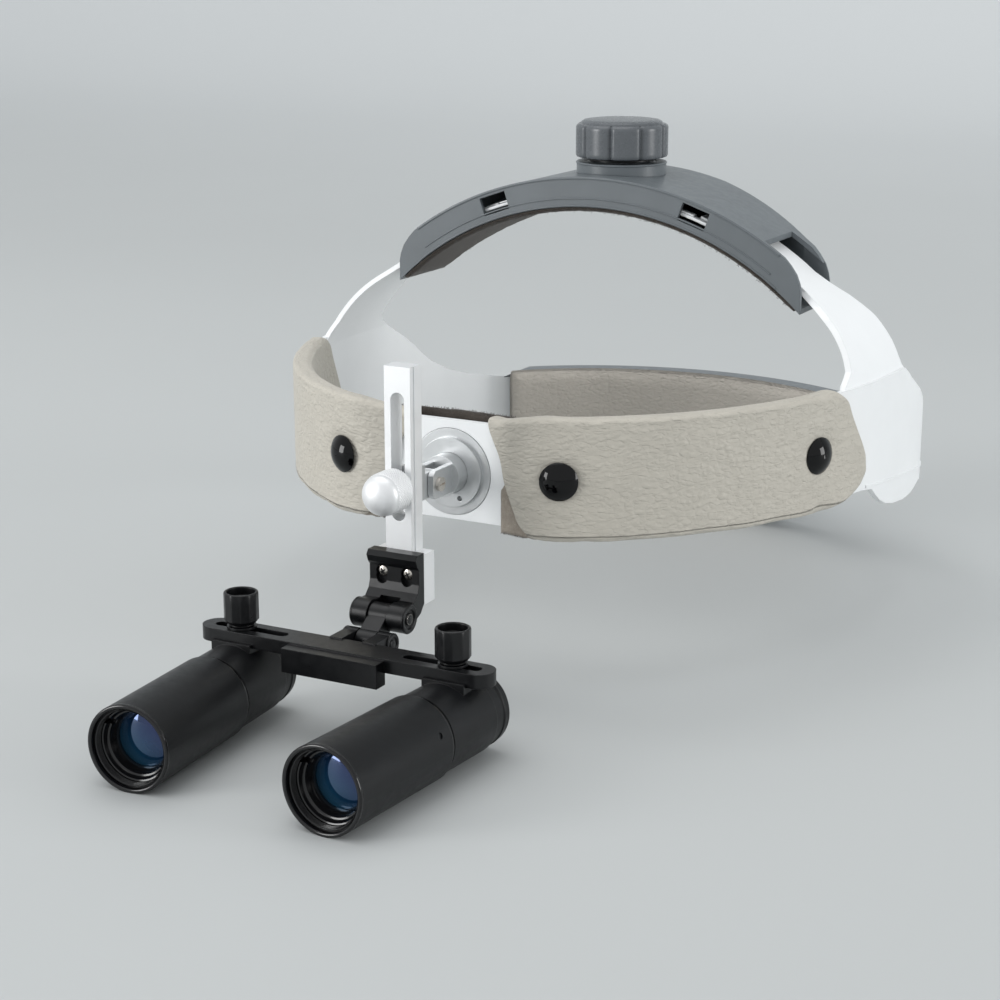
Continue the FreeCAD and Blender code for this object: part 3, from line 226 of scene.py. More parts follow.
def coated_lens(name):
    """Multi-coated glass over a dark barrel, with the coating's own blue tint; its shift from teal on one
    side of each lens to violet on the other is a painted reflection, fixed on the lens.
    """
    g = Graph(name)
    at = g.coords((1, 1, 1), uv=True)
    side = g.add("SeparateXYZ", {0: at}).outputs
    # painted reflection: the colour leans from teal to violet across each lens, as the coating's reflection
    # would change across it; the blue tint itself is the coating's own
    uneven = g.math("MULTIPLY", g.noise(at, 1.2, 2.0), 0.5)
    lean = g.math("ADD", g.math("SUBTRACT", side[0], side[1]), uneven)
    tone = g.mix(g.ramp(lean, -0.9, 1.5), linear(27, 78, 106), linear(34, 46, 94))
    return g.finish(Base_Color=tone, Roughness=0.06, Metallic=0.55, Coat_Weight=0.6, Coat_Roughness=0.02)


WHITE = hard("white_moulding", linear(243, 245, 246), 0.36, grain=(1.6, 0.004), mottle=0.012, edge=0.35,
             Subsurface_Weight=0.06, Subsurface_Radius=(0.002, 0.002, 0.002))
GREY = hard("grey_moulding", linear(102, 108, 112), 0.36, grain=(2.2, 0.008), mottle=0.05, edge=0.35)
DARK_GREY = hard("dark_grey_moulding", linear(92, 96, 100), 0.28, grain=(2.2, 0.006), mottle=0.05, edge=0.25)
LEATHER = leather("light_grain_leather", linear(194, 189, 178))
TAUPE = leather("taupe_grain_leather", linear(184, 178, 169))
FELT = felt("brown_grey_felt", linear(76, 70, 65))
CANVAS = felt("taupe_backing", linear(158, 149, 138), 0.8)
CAP = hard("black_cap_gloss", linear(3, 3, 4), 0.04, grain=(0.6, 0.0006), mottle=0.2, edge=0.0,
           rough_spread=0.01, Specular_IOR_Level=0.3)
TURNED = hard("turned_aluminium", linear(206, 208, 209), 0.34, 0.85, grain=(3.0, 0.010), mottle=0.03)
ALUMINIUM = hard("satin_aluminium_blast", linear(238, 239, 240), 0.44, 0.5, grain=(3.5, 0.012), mottle=0.03,
                 edge=0.25, rough_spread=0.05)
BLACK = hard("satin_black_coat", linear(13, 14, 16), 0.32, grain=(3.0, 0.008), mottle=0.18, edge=0.3,
             Specular_IOR_Level=0.36)
MATT = hard("matt_black_coat", linear(14, 15, 17), 0.38, grain=(3.2, 0.016), mottle=0.2, edge=0.3,
            Specular_IOR_Level=0.3)
GLOSS = hard("gloss_black_ring", linear(16, 16, 18), 0.14, grain=(1.2, 0.002), mottle=0.15, edge=0.15)
NICKEL = hard("nickel_plate", linear(214, 208, 200), 0.24, 1.0, grain=(2.0, 0.004), mottle=0.05, edge=0.12)
LENS = coated_lens("blue_coated_glass")

BY_SLOT = {
    "white_plastic": WHITE, "grey_plastic": GREY, "light_leather": LEATHER, "taupe_leather": TAUPE,
    "liner_fabric": FELT, "black_cap": CAP, "satin_aluminium": ALUMINIUM, "black_anodised": BLACK,
    "matt_black_anodised": MATT, "nickel_steel": NICKEL, "coated_glass": LENS,
}
for part in frame["record"]["subparts"]:
    for material_slot in frame["nodes"][part["node"]].material_slots:
        material_slot.material = BY_SLOT[part["material_slot"]]
for turned in ("mount_disc", "swivel_socket", "post_guide"):
    frame["nodes"][turned].material_slots[0].material = TURNED


# ---------------------------------------------------------------- mesh helpers
def make(name, verts, faces, material, body, uvs=None, replaces=()):
    """A mesh piece from millimetre points, riding on a CAD body."""
    mesh = bpy.data.meshes.new(name)
    mesh.from_pydata([tuple(float(c) * MM for c in p) for p in verts], [], [tuple(f) for f in faces])
    mesh.validate()
    mesh.update()
    mesh.polygons.foreach_set("use_smooth", [True] * len(mesh.polygons))
    if uvs is not None:
        layer = mesh.uv_layers.new(name="map")
        index = np.zeros(len(mesh.loops), np.int32)
        mesh.loops.foreach_get("vertex_index", index)
        layer.data.foreach_set("uv", np.array(uvs, np.float32)[index].ravel())
    mesh.materials.append(material)
    obj = bpy.data.objects.new(name, mesh)
    bpy.context.scene.collection.objects.link(obj)
    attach(obj, body)
    if replaces:
        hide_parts(*replaces)
    return obj


def grid_faces(rows, cols, wrap_cols=False):
    """Four-cornered faces between rows of cols points each."""
    faces = []
    for i in range(rows - 1):
        low, high = i * cols, (i + 1) * cols
        for j in range(cols if wrap_cols else cols - 1):
            k = (j + 1) % cols
            faces.append((low + j, low + k, high + k, high + j))
    return faces


def capped_tube(rows, cols, flip=False):
    """Faces of a closed tube with a flat cap at each end."""
    first, last = tuple(range(cols)), tuple(range((rows - 1) * cols, rows * cols))
    caps = [first, last[::-1]] if flip else [first[::-1], last]
    return grid_faces(rows, cols, True) + caps


def face_outward(obj, sharp=None):
    """Point the faces outward, and mark edges sharper than an angle in degrees."""
    bm = bmesh.new()
    bm.from_mesh(obj.data)
    bmesh.ops.recalc_face_normals(bm, faces=bm.faces)
    bm.to_mesh(obj.data)
    bm.free()
    if sharp is not None:
        obj.data.set_sharp_from_angle(angle=math.radians(sharp))


def natural_spline(points, count):
    """Points spaced evenly on a natural cubic spline through points."""
    p = np.array(points, float)
    t = np.r_[0, np.cumsum(np.linalg.norm(np.diff(p, axis=0), axis=1))]
    h = np.diff(t)
    n = len(p)
    a = np.zeros((n, n))
    r = np.zeros((n, p.shape[1]))
    a[0, 0] = a[-1, -1] = 1
    for i in range(1, n - 1):
        a[i, i - 1:i + 2] = h[i - 1], 2 * (h[i - 1] + h[i]), h[i]
        r[i] = 6 * ((p[i + 1] - p[i]) / h[i] - (p[i] - p[i - 1]) / h[i - 1])
    m = np.linalg.solve(a, r)
    u = np.linspace(0, t[-1], count)
    k = np.clip(np.searchsorted(t, u, "right") - 1, 0, n - 2)
    s, hk = (u - t[k])[:, None], h[k][:, None]
    part = (m[k] * (hk - s) ** 3 + m[k + 1] * s ** 3) / (6 * hk)
    return part + (p[k] / hk - m[k] * hk / 6) * (hk - s) + (p[k + 1] / hk - m[k + 1] * hk / 6) * s


# band plan: the outer face of the covers, from the front centre round to the rear; the side bows out
# a little behind the temples, at WIDE_STEPS
BAND_Y, BAND_HALF, BAND_FRONT, BAND_REAR = 61.0, 102.0, 127.5, 95.0
FRONT_PLAN = [(0.0, -55.8), (10.0, -56.8), (20.0, -58.6), (30.0, -59.6), (40.2, -56.3)]
WIDE_STEPS = {101: 102.3, 112: 99.6, 123: 88.6}
COVER_MID_Z = 65.3
plan_points = list(FRONT_PLAN)
for step in (31, 39, 47, 55, 63, 71, 80, 90, 101, 112, 123, 135, 147, 158, 169, 180):
    depth = BAND_FRONT if step <= 90 else BAND_REAR
    wide = WIDE_STEPS.get(step, BAND_HALF * math.sin(math.radians(step)))
    plan_points.append((wide, BAND_Y - depth * math.cos(math.radians(step))))
PLAN = natural_spline(plan_points, 2400)
PLAN_S = np.r_[0, np.cumsum(np.linalg.norm(np.diff(PLAN, axis=0), axis=1))]
TANGENT = np.gradient(PLAN, PLAN_S, axis=0)
TANGENT /= np.linalg.norm(TANGENT, axis=1)[:, None]


def on_band(s, inward, z, sign=1):
    """Point at arc length s from the front centre, moved inward from the covers' outer face."""
    x, y = np.interp(s, PLAN_S, PLAN[:, 0]), np.interp(s, PLAN_S, PLAN[:, 1])
    tx, ty = np.interp(s, PLAN_S, TANGENT[:, 0]), np.interp(s, PLAN_S, TANGENT[:, 1])
    size = math.hypot(tx, ty)
    return np.array([sign * (x - ty / size * inward), y + tx / size * inward, z])


def s_at_x(x):
    return float(np.interp(x, PLAN[:700, 0], PLAN_S[:700]))


def s_at_y(y):
    start = int(np.argmax(PLAN[:, 0] > 45))
    return float(np.interp(y, PLAN[start:, 1], PLAN_S[start:]))


def smoothstep(x):
    x = min(1.0, max(0.0, x))
    return x * x * (3 - 2 * x)


def wander(x, y, z, scale, seed=0.0):
    """Smooth noise from -1 to 1."""
    return noise.noise(Vector((x * scale + seed, y * scale - seed, z * scale + 2 * seed)))


CLOTH_SIZE = 20.0
CLOTH_FRAMES = 16
CLOTH_GROW = 0.02
CLOTH_STIFF = 6.0
CLOTH_SLIDE = 0.6


def relax(obj, pinned, pressure, cap_out, cap_in):
    """Cloth pass on a closed skin: slight over-length and pressure buckle it, and every move is capped."""
    copy = bpy.data.objects.new("relaxing", obj.data.copy())
    bpy.context.scene.collection.objects.link(copy)
    count = len(copy.data.vertices)
    rest = np.zeros(count * 3)
    copy.data.vertices.foreach_get("co", rest)
    copy.data.vertices.foreach_set("co", rest * CLOTH_SIZE)
    rest = rest.reshape(-1, 3)
    normals = np.zeros(count * 3)
    copy.data.update()
    copy.data.vertices.foreach_get("normal", normals)
    normals = normals.reshape(-1, 3)
    group = copy.vertex_groups.new(name="held")
    for index, weight in enumerate(pinned):
        if weight > 0:
            group.add([index], float(weight), "REPLACE")
    cloth = copy.modifiers.new("cloth", "CLOTH")
    s = cloth.settings
    s.quality = 5
    s.mass = 0.15
    s.tension_stiffness = s.compression_stiffness = CLOTH_STIFF
    s.shear_stiffness = CLOTH_STIFF * 0.6
    s.bending_stiffness = 0.4
    s.use_pressure = True
    s.uniform_pressure_force = pressure
    s.shrink_min = -CLOTH_GROW
    s.vertex_group_mass = "held"
    s.effector_weights.gravity = 0.0
    cloth.collision_settings.use_collision = False
    cloth.point_cache.frame_start = 1
    cloth.point_cache.frame_end = CLOTH_FRAMES
    for step in range(1, CLOTH_FRAMES + 1):
        bpy.context.scene.frame_set(step)
    graph = bpy.context.evaluated_depsgraph_get()
    done = copy.evaluated_get(graph)
    moved = np.zeros(len(done.data.vertices) * 3)
    done.data.vertices.foreach_get("co", moved)
    shift = moved.reshape(-1, 3) / CLOTH_SIZE - rest
    shift[~np.isfinite(shift).all(1)] = 0
    out = (shift * normals).sum(1)
    wanted = np.clip(out, -cap_in * MM, cap_out * MM)
    slide = shift - out[:, None] * normals
    length = np.linalg.norm(slide, axis=1) + 1e-12
    slide *= np.minimum(1.0, CLOTH_SLIDE * MM / length)[:, None]
    final = rest + wanted[:, None] * normals + slide
    obj.data.vertices.foreach_set("co", final.ravel())
    obj.data.update()
    bpy.data.objects.remove(copy)
    bpy.context.scene.frame_set(1)


# ---------------------------------------------------------------- leather covers
COVER_LOW, COVER_HIGH, COVER_THICK = 46.6, 84.0, 6.0
SNAP_Z = 65.3
SNAP_S = (s_at_x(36.6), s_at_y(9.0))
# the covers' ends: (height, how far to the side the front edge is), (height, how far back the rear edge is)
FRONT_EDGE = [
    (46.6, 33.0), (47.6, 27.4), (51.2, 23.6), (56.0, 21.4), (60.1, 19.6), (64.0, 18.2), (68.6, 17.5),
    (72.0, 16.6), (75.9, 14.9), (80.0, 13.2), (84.0, 12.4),
]
REAR_EDGE = [
    (46.6, 13.0), (48.6, 22.0), (51.5, 29.0), (55.6, 32.4), (61.0, 31.6), (66.0, 28.8), (75.9, 22.6),
    (80.0, 20.6), (84.0, 15.0),
]


def edge_at(table, z):
    return float(np.interp(z, [p[0] for p in table], [p[1] for p in table]))


def sleeve_section(low, high, near, far, radius, step):
    """Closed loop of (inward, z) round a flat sleeve with rounded folds, and its running length."""
    flat = int(round((high - low - 2 * radius) / step))
    tall = high - low - 2 * radius
    turns = [math.pi / 2 * i / 7 for i in range(7)]
    loop = [(near, low + radius + tall * i / flat) for i in range(flat)]
    loop += [(near + radius * (1 - math.cos(a)), high - radius + radius * math.sin(a)) for a in turns]
    loop += [(far - radius * (1 - math.sin(a)), high - radius + radius * math.cos(a)) for a in turns]
    loop += [(far, high - radius - tall * i / flat) for i in range(flat)]
    loop += [(far - radius * (1 - math.cos(a)), low + radius - radius * math.sin(a)) for a in turns]
    loop += [(near + radius * (1 - math.sin(a)), low + radius - radius * math.cos(a)) for a in turns]
    run = np.r_[0, np.cumsum([math.dist(a, b) for a, b in zip(loop[:-1], loop[1:])])]
    return loop, run


COVER_ROWS = 118
COVER_MIDDLE = 3.1
COVER_HALF_TALL = 18.7
# the sewn ends: distance from the edge, and how much the section shrinks there
LIPS = [(2.4, 1.9), (0.35, 1.3), (0.08, 0.5)]


def cover_point(s, inward, z, shrink, sign):
    """Point of a cover's skin: its section shrunk at the ends, dimpled at the snaps, slightly uneven."""
    o = COVER_MIDDLE + (inward - COVER_MIDDLE) * (1 - shrink / COVER_MIDDLE)
    zz = COVER_MID_Z + (z - COVER_MID_Z) * (1 - shrink / COVER_HALF_TALL)
    if z > COVER_MID_Z:
        zz -= 2.5 * smoothstep((34.0 - s) / 20.0) * (z - COVER_MID_Z) / COVER_HALF_TALL
    if shrink == 0.0 and inward < 3.0:
        for snap in SNAP_S:
            gap = math.hypot(s - snap, z - SNAP_Z)
            o += 0.55 * math.exp(-((gap / 6.6) ** 2)) - 0.16 * math.exp(-(((gap - 9.5) / 3.2) ** 2))
    ripple = wander(s * 0.6, z, sign * 3.0, 0.10, 4.0) * 0.16 + wander(s * 0.35, z, sign, 0.30, 9.0) * 0.07
    if inward < 5.9:
        o += ripple * (0.5 if shrink else 1.0) * (1.0 if inward < 0.05 else 0.3)
    zz += 0.22 * wander(s, 0, sign * 5.0, 0.10, 2.0) * smoothstep((COVER_LOW + 9.0 - z) / 9.0)
    return on_band(s, max(o, -0.25), zz, sign)


def leather_cover(side, sign):
    loop, run = sleeve_section(COVER_LOW, COVER_HIGH, 0.0, COVER_THICK, 2.1, 1.15)
    stations = [("front", d, k) for d, k in LIPS]
    stations += [("run", i / (COVER_ROWS - 1), 0.0) for i in range(COVER_ROWS)]
    stations += [("rear", d, k) for d, k in LIPS[::-1]]
    verts, uvs, held = [], [], []
    for kind, value, shrink in stations:
        at_end = kind != "run" or value < 0.012 or value > 0.988
        for (inward, z), length in zip(loop, run):
            a = s_at_x(edge_at(FRONT_EDGE, z))
            b = s_at_y(edge_at(REAR_EDGE, z))
            if kind == "run":
                t = value + 0.012 * math.sin(2 * math.pi * value)
                s = a + (b - a) * t
            else:
                s = a + value if kind == "front" else b - value
            verts.append(cover_point(s, inward, z, shrink, sign))
            uvs.append((s, length))
            near_snap = any(math.hypot(s - snap, z - SNAP_Z) < 6.2 for snap in SNAP_S)
            held.append(1.0 if at_end or (near_snap and inward < 3) else (0.6 if inward > 5.9 else 0.0))
    faces = grid_faces(len(stations), len(loop), True)
    if sign > 0:
        faces = [f[::-1] for f in faces]
    obj = make(side + "_cover_leather", verts, faces, LEATHER, "headband", uvs,
               replaces=(side + "_leather_cover",))
    relax(obj, held, 1.4, 0.22, 0.3)
    soften = obj.modifiers.new("soften", "SUBSURF")
    soften.levels = soften.render_levels = 1


for side, sign in (("left", 1), ("right", -1)):
    leather_cover(side, sign)


# ---------------------------------------------------------------- soft pads
def rounded(distance):
    """Quarter-circle rise from 0 at an edge to 1 at a distance of 1."""
    return math.sqrt(max(0.0, 1 - (1 - min(1.0, distance)) ** 2))


PAD_COLS = 26
REAR_FACE_UV = 80


def pad_block(name, node, surface, s_steps, z_at, near, far, crown, material, body, uv_scale=1.0):
    """Crowned pad between two offsets. surface(s, inward, z) places it, z_at(s) gives its edges."""
    rows = len(s_steps)
    mid = (near + far) / 2
    steps = [k / (PAD_COLS - 1) for k in range(PAD_COLS)]
    verts, uvs, held = [], [], []
    for i, s in enumerate(s_steps):
        end = min(i, rows - 1 - i) / 4.0
        tuck = rounded(end)
        low, high = z_at(s)
        for face in (0, 1):
            for t in steps if face == 0 else steps[::-1]:
                edge = min(t, 1 - t) * 2 * 4.0
                half = (far - near) / 2 * (0.30 + 0.70 * rounded(edge) * tuck)
                swell = crown * math.sin(math.pi * t) * tuck
                offset = mid + half + swell if face == 0 else mid - half
                z = low + (high - low) * t
                verts.append(surface(s, min(offset, far + 0.4), z))
                uvs.append((s * uv_scale, z + (REAR_FACE_UV if face else 0)))
                held.append(1.0 if face == 1 or end < 0.3 or edge < 0.3 else 0.0)
    obj = make(name, verts, capped_tube(rows, 2 * PAD_COLS), material, body, uvs, replaces=(node,))
    face_outward(obj)
    relax(obj, held, 2.2, 0.5, 0.2)
    soften = obj.modifiers.new("soften", "SUBSURF")
    soften.levels = soften.render_levels = 1


# forehead pad, felt, behind the bare centre plate
FORE_END = s_at_x(25.8)
pad_block(
    "forehead_felt_pad", "forehead_pad",
    lambda s, o, z: on_band(abs(s), o, z, 1 if s >= 0 else -1),
    list(np.linspace(-FORE_END, FORE_END, 90)),
    lambda s: (48.1 + 0.25 * wander(s, 0, 0, 0.3, 1.0), 80.6 + 0.25 * wander(s, 5, 0, 0.3, 3.0)),
    6.5, 10.2, 0.0, FELT, "headband",
)


def rear_surface(s, o, z):
    """s is an angle in degrees from the rear centre."""
    angle = math.radians(180.0 - abs(s))
    x, y = BAND_HALF * math.sin(angle), BAND_Y - BAND_REAR * math.cos(angle)
    tx, ty = BAND_HALF * math.cos(angle), BAND_REAR * math.sin(angle)
    size = math.hypot(tx, ty)
    return np.array([(1 if s >= 0 else -1) * (x - ty / size * o), y + tx / size * o, z])


def rear_low(s):
    """Lower edge of the rear pad: a nape lobe in the middle."""
    x = abs(rear_surface(s, 7.5, 0)[0])
    aside = [0, 10.8, 23.5, 32.4, 44.0, 56.6, 76.0]
    return float(np.interp(x, aside, [0.9, 1.0, 2.6, 10.0, 19.4, 28.4, 30.6]))


pad_block(
    "rear_leather_cushion", "rear_leather_pad", rear_surface,
    list(np.linspace(-49.3, 49.3, 120)),
    lambda s: (rear_low(s), 55.7),
    6.8, 11.3, 0.3, TAUPE, "rear_unit", uv_scale=1.8,
)


# ---------------------------------------------------------------- crown liner with a fibrous edge
CROWN_Z, CROWN_R, CROWN_DEEP = 26.0, 115.0, 9.8


def crown_point(angle, radius, y):
    return np.array([radius * math.sin(angle), y, CROWN_Z + radius * math.cos(angle)])


def crown_rear(x):
    """How far back the crown strap reaches at a distance from its middle."""
    return float(np.interp(abs(x), [0, 30, 50, 64, 73], [86.0, 81.0, 74.0, 68.5, 67.0]))


def crown_liner():
    top, low = CROWN_R - CROWN_DEEP - 0.15, CROWN_R - CROWN_DEEP - 1.55
    rows, cols = 130, 34
    limit = math.asin(71.3 / top)
    verts = []
    for i in range(rows):
        angle = -limit + 2 * limit * i / (rows - 1)
        x = top * math.sin(angle)
        front, rear = 39.4, crown_rear(x) - 0.5
        for face in (0, 1):
            for k in range(cols):
                t = k / (cols - 1) if face == 0 else 1 - k / (cols - 1)
                edge = min(t, 1 - t) * (rear - front)
                end = min(i, rows - 1 - i) / 3.0
                lift = rounded(edge) * min(1.0, 0.35 + 0.65 * end)
                fuzz = 0.16 * wander(angle * 60, t * 40, face, 0.9, 3.0)
                radius = top if face == 0 else top - (top - low) * (0.45 + 0.55 * lift) + fuzz
                y = front + (rear - front) * t
                if edge < 0.4:
                    y += 0.35 * wander(angle * 100, face, 0, 0.8, 5.0)
                verts.append(crown_point(angle, radius, y))
    obj = make("crown_felt_liner", verts, capped_tube(rows, 2 * cols), FELT, "crown_strap",
               replaces=("crown_liner",))
    face_outward(obj)


crown_liner()


def fibres(name, roots, material, body, length, width, lean):
    """Short tapered fibres standing from root points; roots give a point and an outward direction."""
    verts, faces = [], []
    for point, out in roots:
        out = Vector(out).normalized()
        away = Vector((random.uniform(-1, 1), random.uniform(-1, 1), random.uniform(-1, 1)))
        side = out.cross(away).normalized()
        other = out.cross(side).normalized()
        tall = length * random.uniform(0.4, 1.2)
        stray = side * random.uniform(-1, 1) + other * random.uniform(-1, 1)
        tip = Vector(point) + out * tall + stray * lean * tall
        bend = Vector(point) + out * tall * 0.55 + side * random.uniform(-0.2, 0.2) * tall
        base = len(verts)
        for centre, w in ((Vector(point) - out * 0.15, width), (bend, width * 0.75)):
            for k in range(3):
                a = 2 * math.pi * k / 3
                verts.append(centre + (side * math.cos(a) + other * math.sin(a)) * w)
        verts.append(tip)
        for k in range(3):
            m = (k + 1) % 3
            faces.append((base + k, base + m, base + 3 + m, base + 3 + k))
            faces.append((base + 3 + k, base + 3 + m, base + 6))
        faces.append((base + 2, base + 1, base))
    make(name, verts, faces, material, body)


roots = []
for k in range(900):
    angle = random.uniform(-0.72, 0.72)
    front = random.random() < 0.7
    x = 105 * math.sin(angle)
    y = 39.3 if front else crown_rear(x) - 0.6
    radius = random.uniform(103.6, 104.9)
    place = crown_point(angle, radius, y)
    roots.append((place, (random.uniform(-0.4, 0.4), -1 if front else 1, random.uniform(-0.6, 0.3))))
fibres("crown_felt_fibres", roots, FELT, "crown_strap", 0.75, 0.07, 0.5)


# ---------------------------------------------------------------- turned and moulded details
def frame_at(origin, axis, ref=(1, 0, 0)):
    """Map from local (a, b, c), with c along axis, to model points."""
    o, z = Vector(origin), Vector(axis).normalized()
    x = Vector(ref)
    x = (x - z * x.dot(z)).normalized()
    y = z.cross(x)
    return lambda a, b, c: o + x * a + y * b + z * c


def lathe(name, profile, place, material, body, segs=96, shape=None, closed=False, sharp=32,
          replaces=(), uv_size=None):
    """Surface of revolution through (radius, height) rows; shape(angle, radius, height) moves points."""
    verts, rows, uvs = [], [], []
    for r, h in profile:
        count = 1 if r < 1e-6 else segs
        rows.append(list(range(len(verts), len(verts) + count)))
        for k in range(count):
            a = 2 * math.pi * k / segs
            rr, hh = shape(a, r, h) if shape and r > 0 else (r, h)
            verts.append(place(rr * math.cos(a), rr * math.sin(a), hh))
            if uv_size:
                uvs.append((rr * math.cos(a) / uv_size, rr * math.sin(a) / uv_size))
    pairs = list(zip(rows[:-1], rows[1:]))
    if closed:
        pairs.append((rows[-1], rows[0]))
    faces = []
    for low, high in pairs:
        for k in range(segs):
            m = (k + 1) % segs
            if len(low) == 1 and len(high) == 1:
                continue
            if len(low) == 1:
                faces.append((low[0], high[m], high[k]))
            elif len(high) == 1:
                faces.append((low[k], low[m], high[0]))
            else:
                faces.append((low[k], low[m], high[m], high[k]))
    obj = make(name, verts, faces, material, body, uvs or None, replaces=replaces)
    face_outward(obj, sharp)


def box_piece(name, size, place, material, body, chamfer):
    """Small block with chamfered edges, centred on the frame."""
    a, b, c = (v / 2 for v in size)
    e = min(chamfer, a * 0.45, b * 0.45, c * 0.45)
    verts = []
    for z, inset in ((-c, e), (-c + e, 0.0), (c - e, 0.0), (c, e)):
        x, y = a - inset, b - inset
        right = [(x, y - e), (x - e, y)]
        left = [(-x + e, y), (-x, y - e), (-x, -y + e), (-x + e, -y)]
        for px, py in right + left + [(x - e, -y), (x, -y + e)]:
            verts.append(place(px, py, z))
    obj = make(name, verts, capped_tube(4, 8), material, body)
    face_outward(obj, 30)


def lobed_knob(name, node, place, radius, height, shaft, body, lobes=9):
    """Grip with wide convex lobes, narrow grooves, a low cap, its neck and its spindle."""
    steps = 12
    rim = [(radius, 0.9 + (height - 1.8) * i / steps) for i in range(steps + 1)]
    profile = [(0, -shaft), (2, -shaft), (2, -1.4), (10.0, -1.4), (10.0, 0.0), (radius - 1.1, 0.0)]
    profile.append((radius - 0.3, 0.3))
    profile += rim + [(radius - 0.25, height - 0.4), (radius - 0.8, height), (radius - 1.8, height + 0.1)]
    profile += [(radius - 2.1, height + 0.7), (radius - 2.8, height + 1.15), (radius - 4.6, height + 1.4)]
    profile += [(radius * 0.4, height + 1.5), (0, height + 1.5)]

    def shape(a, r, h):
        if r < radius - 1.2 or h < 0:
            return r, h
        u = abs((a * lobes / (2 * math.pi)) % 1.0 - 0.5) * 2
        return r - 0.55 * u ** 2 - 0.75 * math.exp(-((1 - u) / 0.11) ** 2), h

    lathe(name, profile, place, DARK_GREY, body, 288, shape, sharp=28, replaces=(node,))


def crown_axis(height):
    return frame_at((0, 62.0, height), (0, 0, 1))


def rear_axis(depth):
    return frame_at((0, depth, 30.0), (0, 1, 0))


lobed_knob("crown_knob_grip", "crown_knob", crown_axis(145.7), 15.5, 11.0, 14.9, "crown_adjuster")
lobed_knob("rear_knob_grip", "rear_knob", rear_axis(163.8), 14.0, 13.0, 14.8, "rear_adjuster")
KNOB_WASHER = [(9.9, 0.1), (11.2, 0.1), (11.4, 0.3), (11.4, 0.7), (11.2, 0.85), (9.9, 0.85)]
RING_STEP = [(11.9, -0.3), (15.1, -0.3), (15.25, -0.1), (15.25, 0.1), (14.9, 0.38), (13.4, 0.45), (12.2, 0.3)]
RING_STEP.append((11.9, 0.1))
for name, place, body in (
    ("crown_knob_washer", crown_axis(144.55), "crown_adjuster"),
    ("rear_knob_washer", rear_axis(162.7), "rear_adjuster"),
):
    lathe(name, KNOB_WASHER, place, BLACK, body, 96, closed=True)
for name, place, body in (
    ("crown_ring_step", crown_axis(143.9), "crown_strap"),
    ("rear_ring_step", rear_axis(162.1), "rear_unit"),
):
    lathe(name, RING_STEP, place, GREY, body, 144, closed=True)


STRIP_BEAD = 0.12


def crown_strip(name, r_low, r_high, y_front, y_rear, start, stop, material, body):
    """Narrow strip that follows the crown strap's curve, with eased edges."""
    count = max(8, int(abs(stop - start) * 90))
    e = min(STRIP_BEAD, (r_high - r_low) * 0.4, (y_rear - y_front) * 0.4)
    loop = [(r_low, y_front + e), (r_low + e, y_front), (r_high - e, y_front), (r_high, y_front + e),
            (r_high, y_rear - e), (r_high - e, y_rear), (r_low + e, y_rear), (r_low, y_rear - e)]
    verts = []
    for i in range(count + 1):
        angle = start + (stop - start) * i / count
        verts += [crown_point(angle, r, y) for r, y in loop]
    obj = make(name, verts, capped_tube(count + 1, 8, True), material, body)
    face_outward(obj, 50)


for name, r_low, r_high, y_front, y_rear, reach in (
    ("crown_front_line", 107.75, 108.25, 38.72, 39.4, 0.62),
    ("crown_low_lip", 105.3, 105.9, 38.75, 39.4, 0.66),
    ("crown_top_lip", 114.2, 115.1, 38.75, 39.5, 0.61),
):
    crown_strip(name, r_low, r_high, y_front, y_rear, -reach, reach, GREY, "crown_strap")
for side, sign in (("left", 1), ("right", -1)):
    for level, r_low, r_high, y_front, end in (
        ("low", 108.75, 109.75, 40.9, 0.47),
        ("high", 109.95, 110.4, 41.1, 0.325),
    ):
        start, stop = sorted((sign * 0.27, sign * end))
        name = "%s_rack_%s" % (side, level)
        crown_strip(name, r_low, r_high, y_front, 44.0, start, stop, WHITE, "headband")

# clamp screw: diamond knurl and a smooth dome
KNURL_LOW, KNURL_HIGH, KNURL_R = 0.6, 8.3, 6.15
KNURL_STEPS, KNURL_COUNT, KNURL_TWIST = 56, 22, 3.3
DOME_R, DOME_TALL, DOME_Z, DOME_STEPS = 5.85, 3.6, 8.7, 22
clamp_profile = [(0, -12.0), (1.9, -12.0), (1.9, 0.0), (5.1, 0.0), (5.6, 0.15), (5.9, 0.5)]
for i in range(KNURL_STEPS + 1):
    clamp_profile.append((KNURL_R, KNURL_LOW + (KNURL_HIGH - KNURL_LOW) * i / KNURL_STEPS))
clamp_profile += [(5.95, 8.45), (5.85, 8.65)]
for i in range(DOME_STEPS):
    a = math.pi / 2 * i / DOME_STEPS
    clamp_profile.append((DOME_R * math.cos(a), DOME_Z + DOME_TALL * math.sin(a)))
clamp_profile.append((0, DOME_Z + DOME_TALL))


def knurl(a, r, h):
    if r != KNURL_R:
        return r, h
    one = math.sin(KNURL_COUNT * a + KNURL_TWIST * h)
    two = math.sin(KNURL_COUNT * a - KNURL_TWIST * h)
    fade = min(1.0, (h - KNURL_LOW) / 0.4, (KNURL_HIGH - h) / 0.4)
    return r - 0.30 + 0.42 * max(0.0, fade) * math.sqrt(abs(one * two)), h


lathe("clamp_thumb_screw", clamp_profile, frame_at((0, -88.2, 65.8), (0, -1, 0)), ALUMINIUM, "clamp",
      352, knurl, sharp=70, replaces=("clamp_screw",))
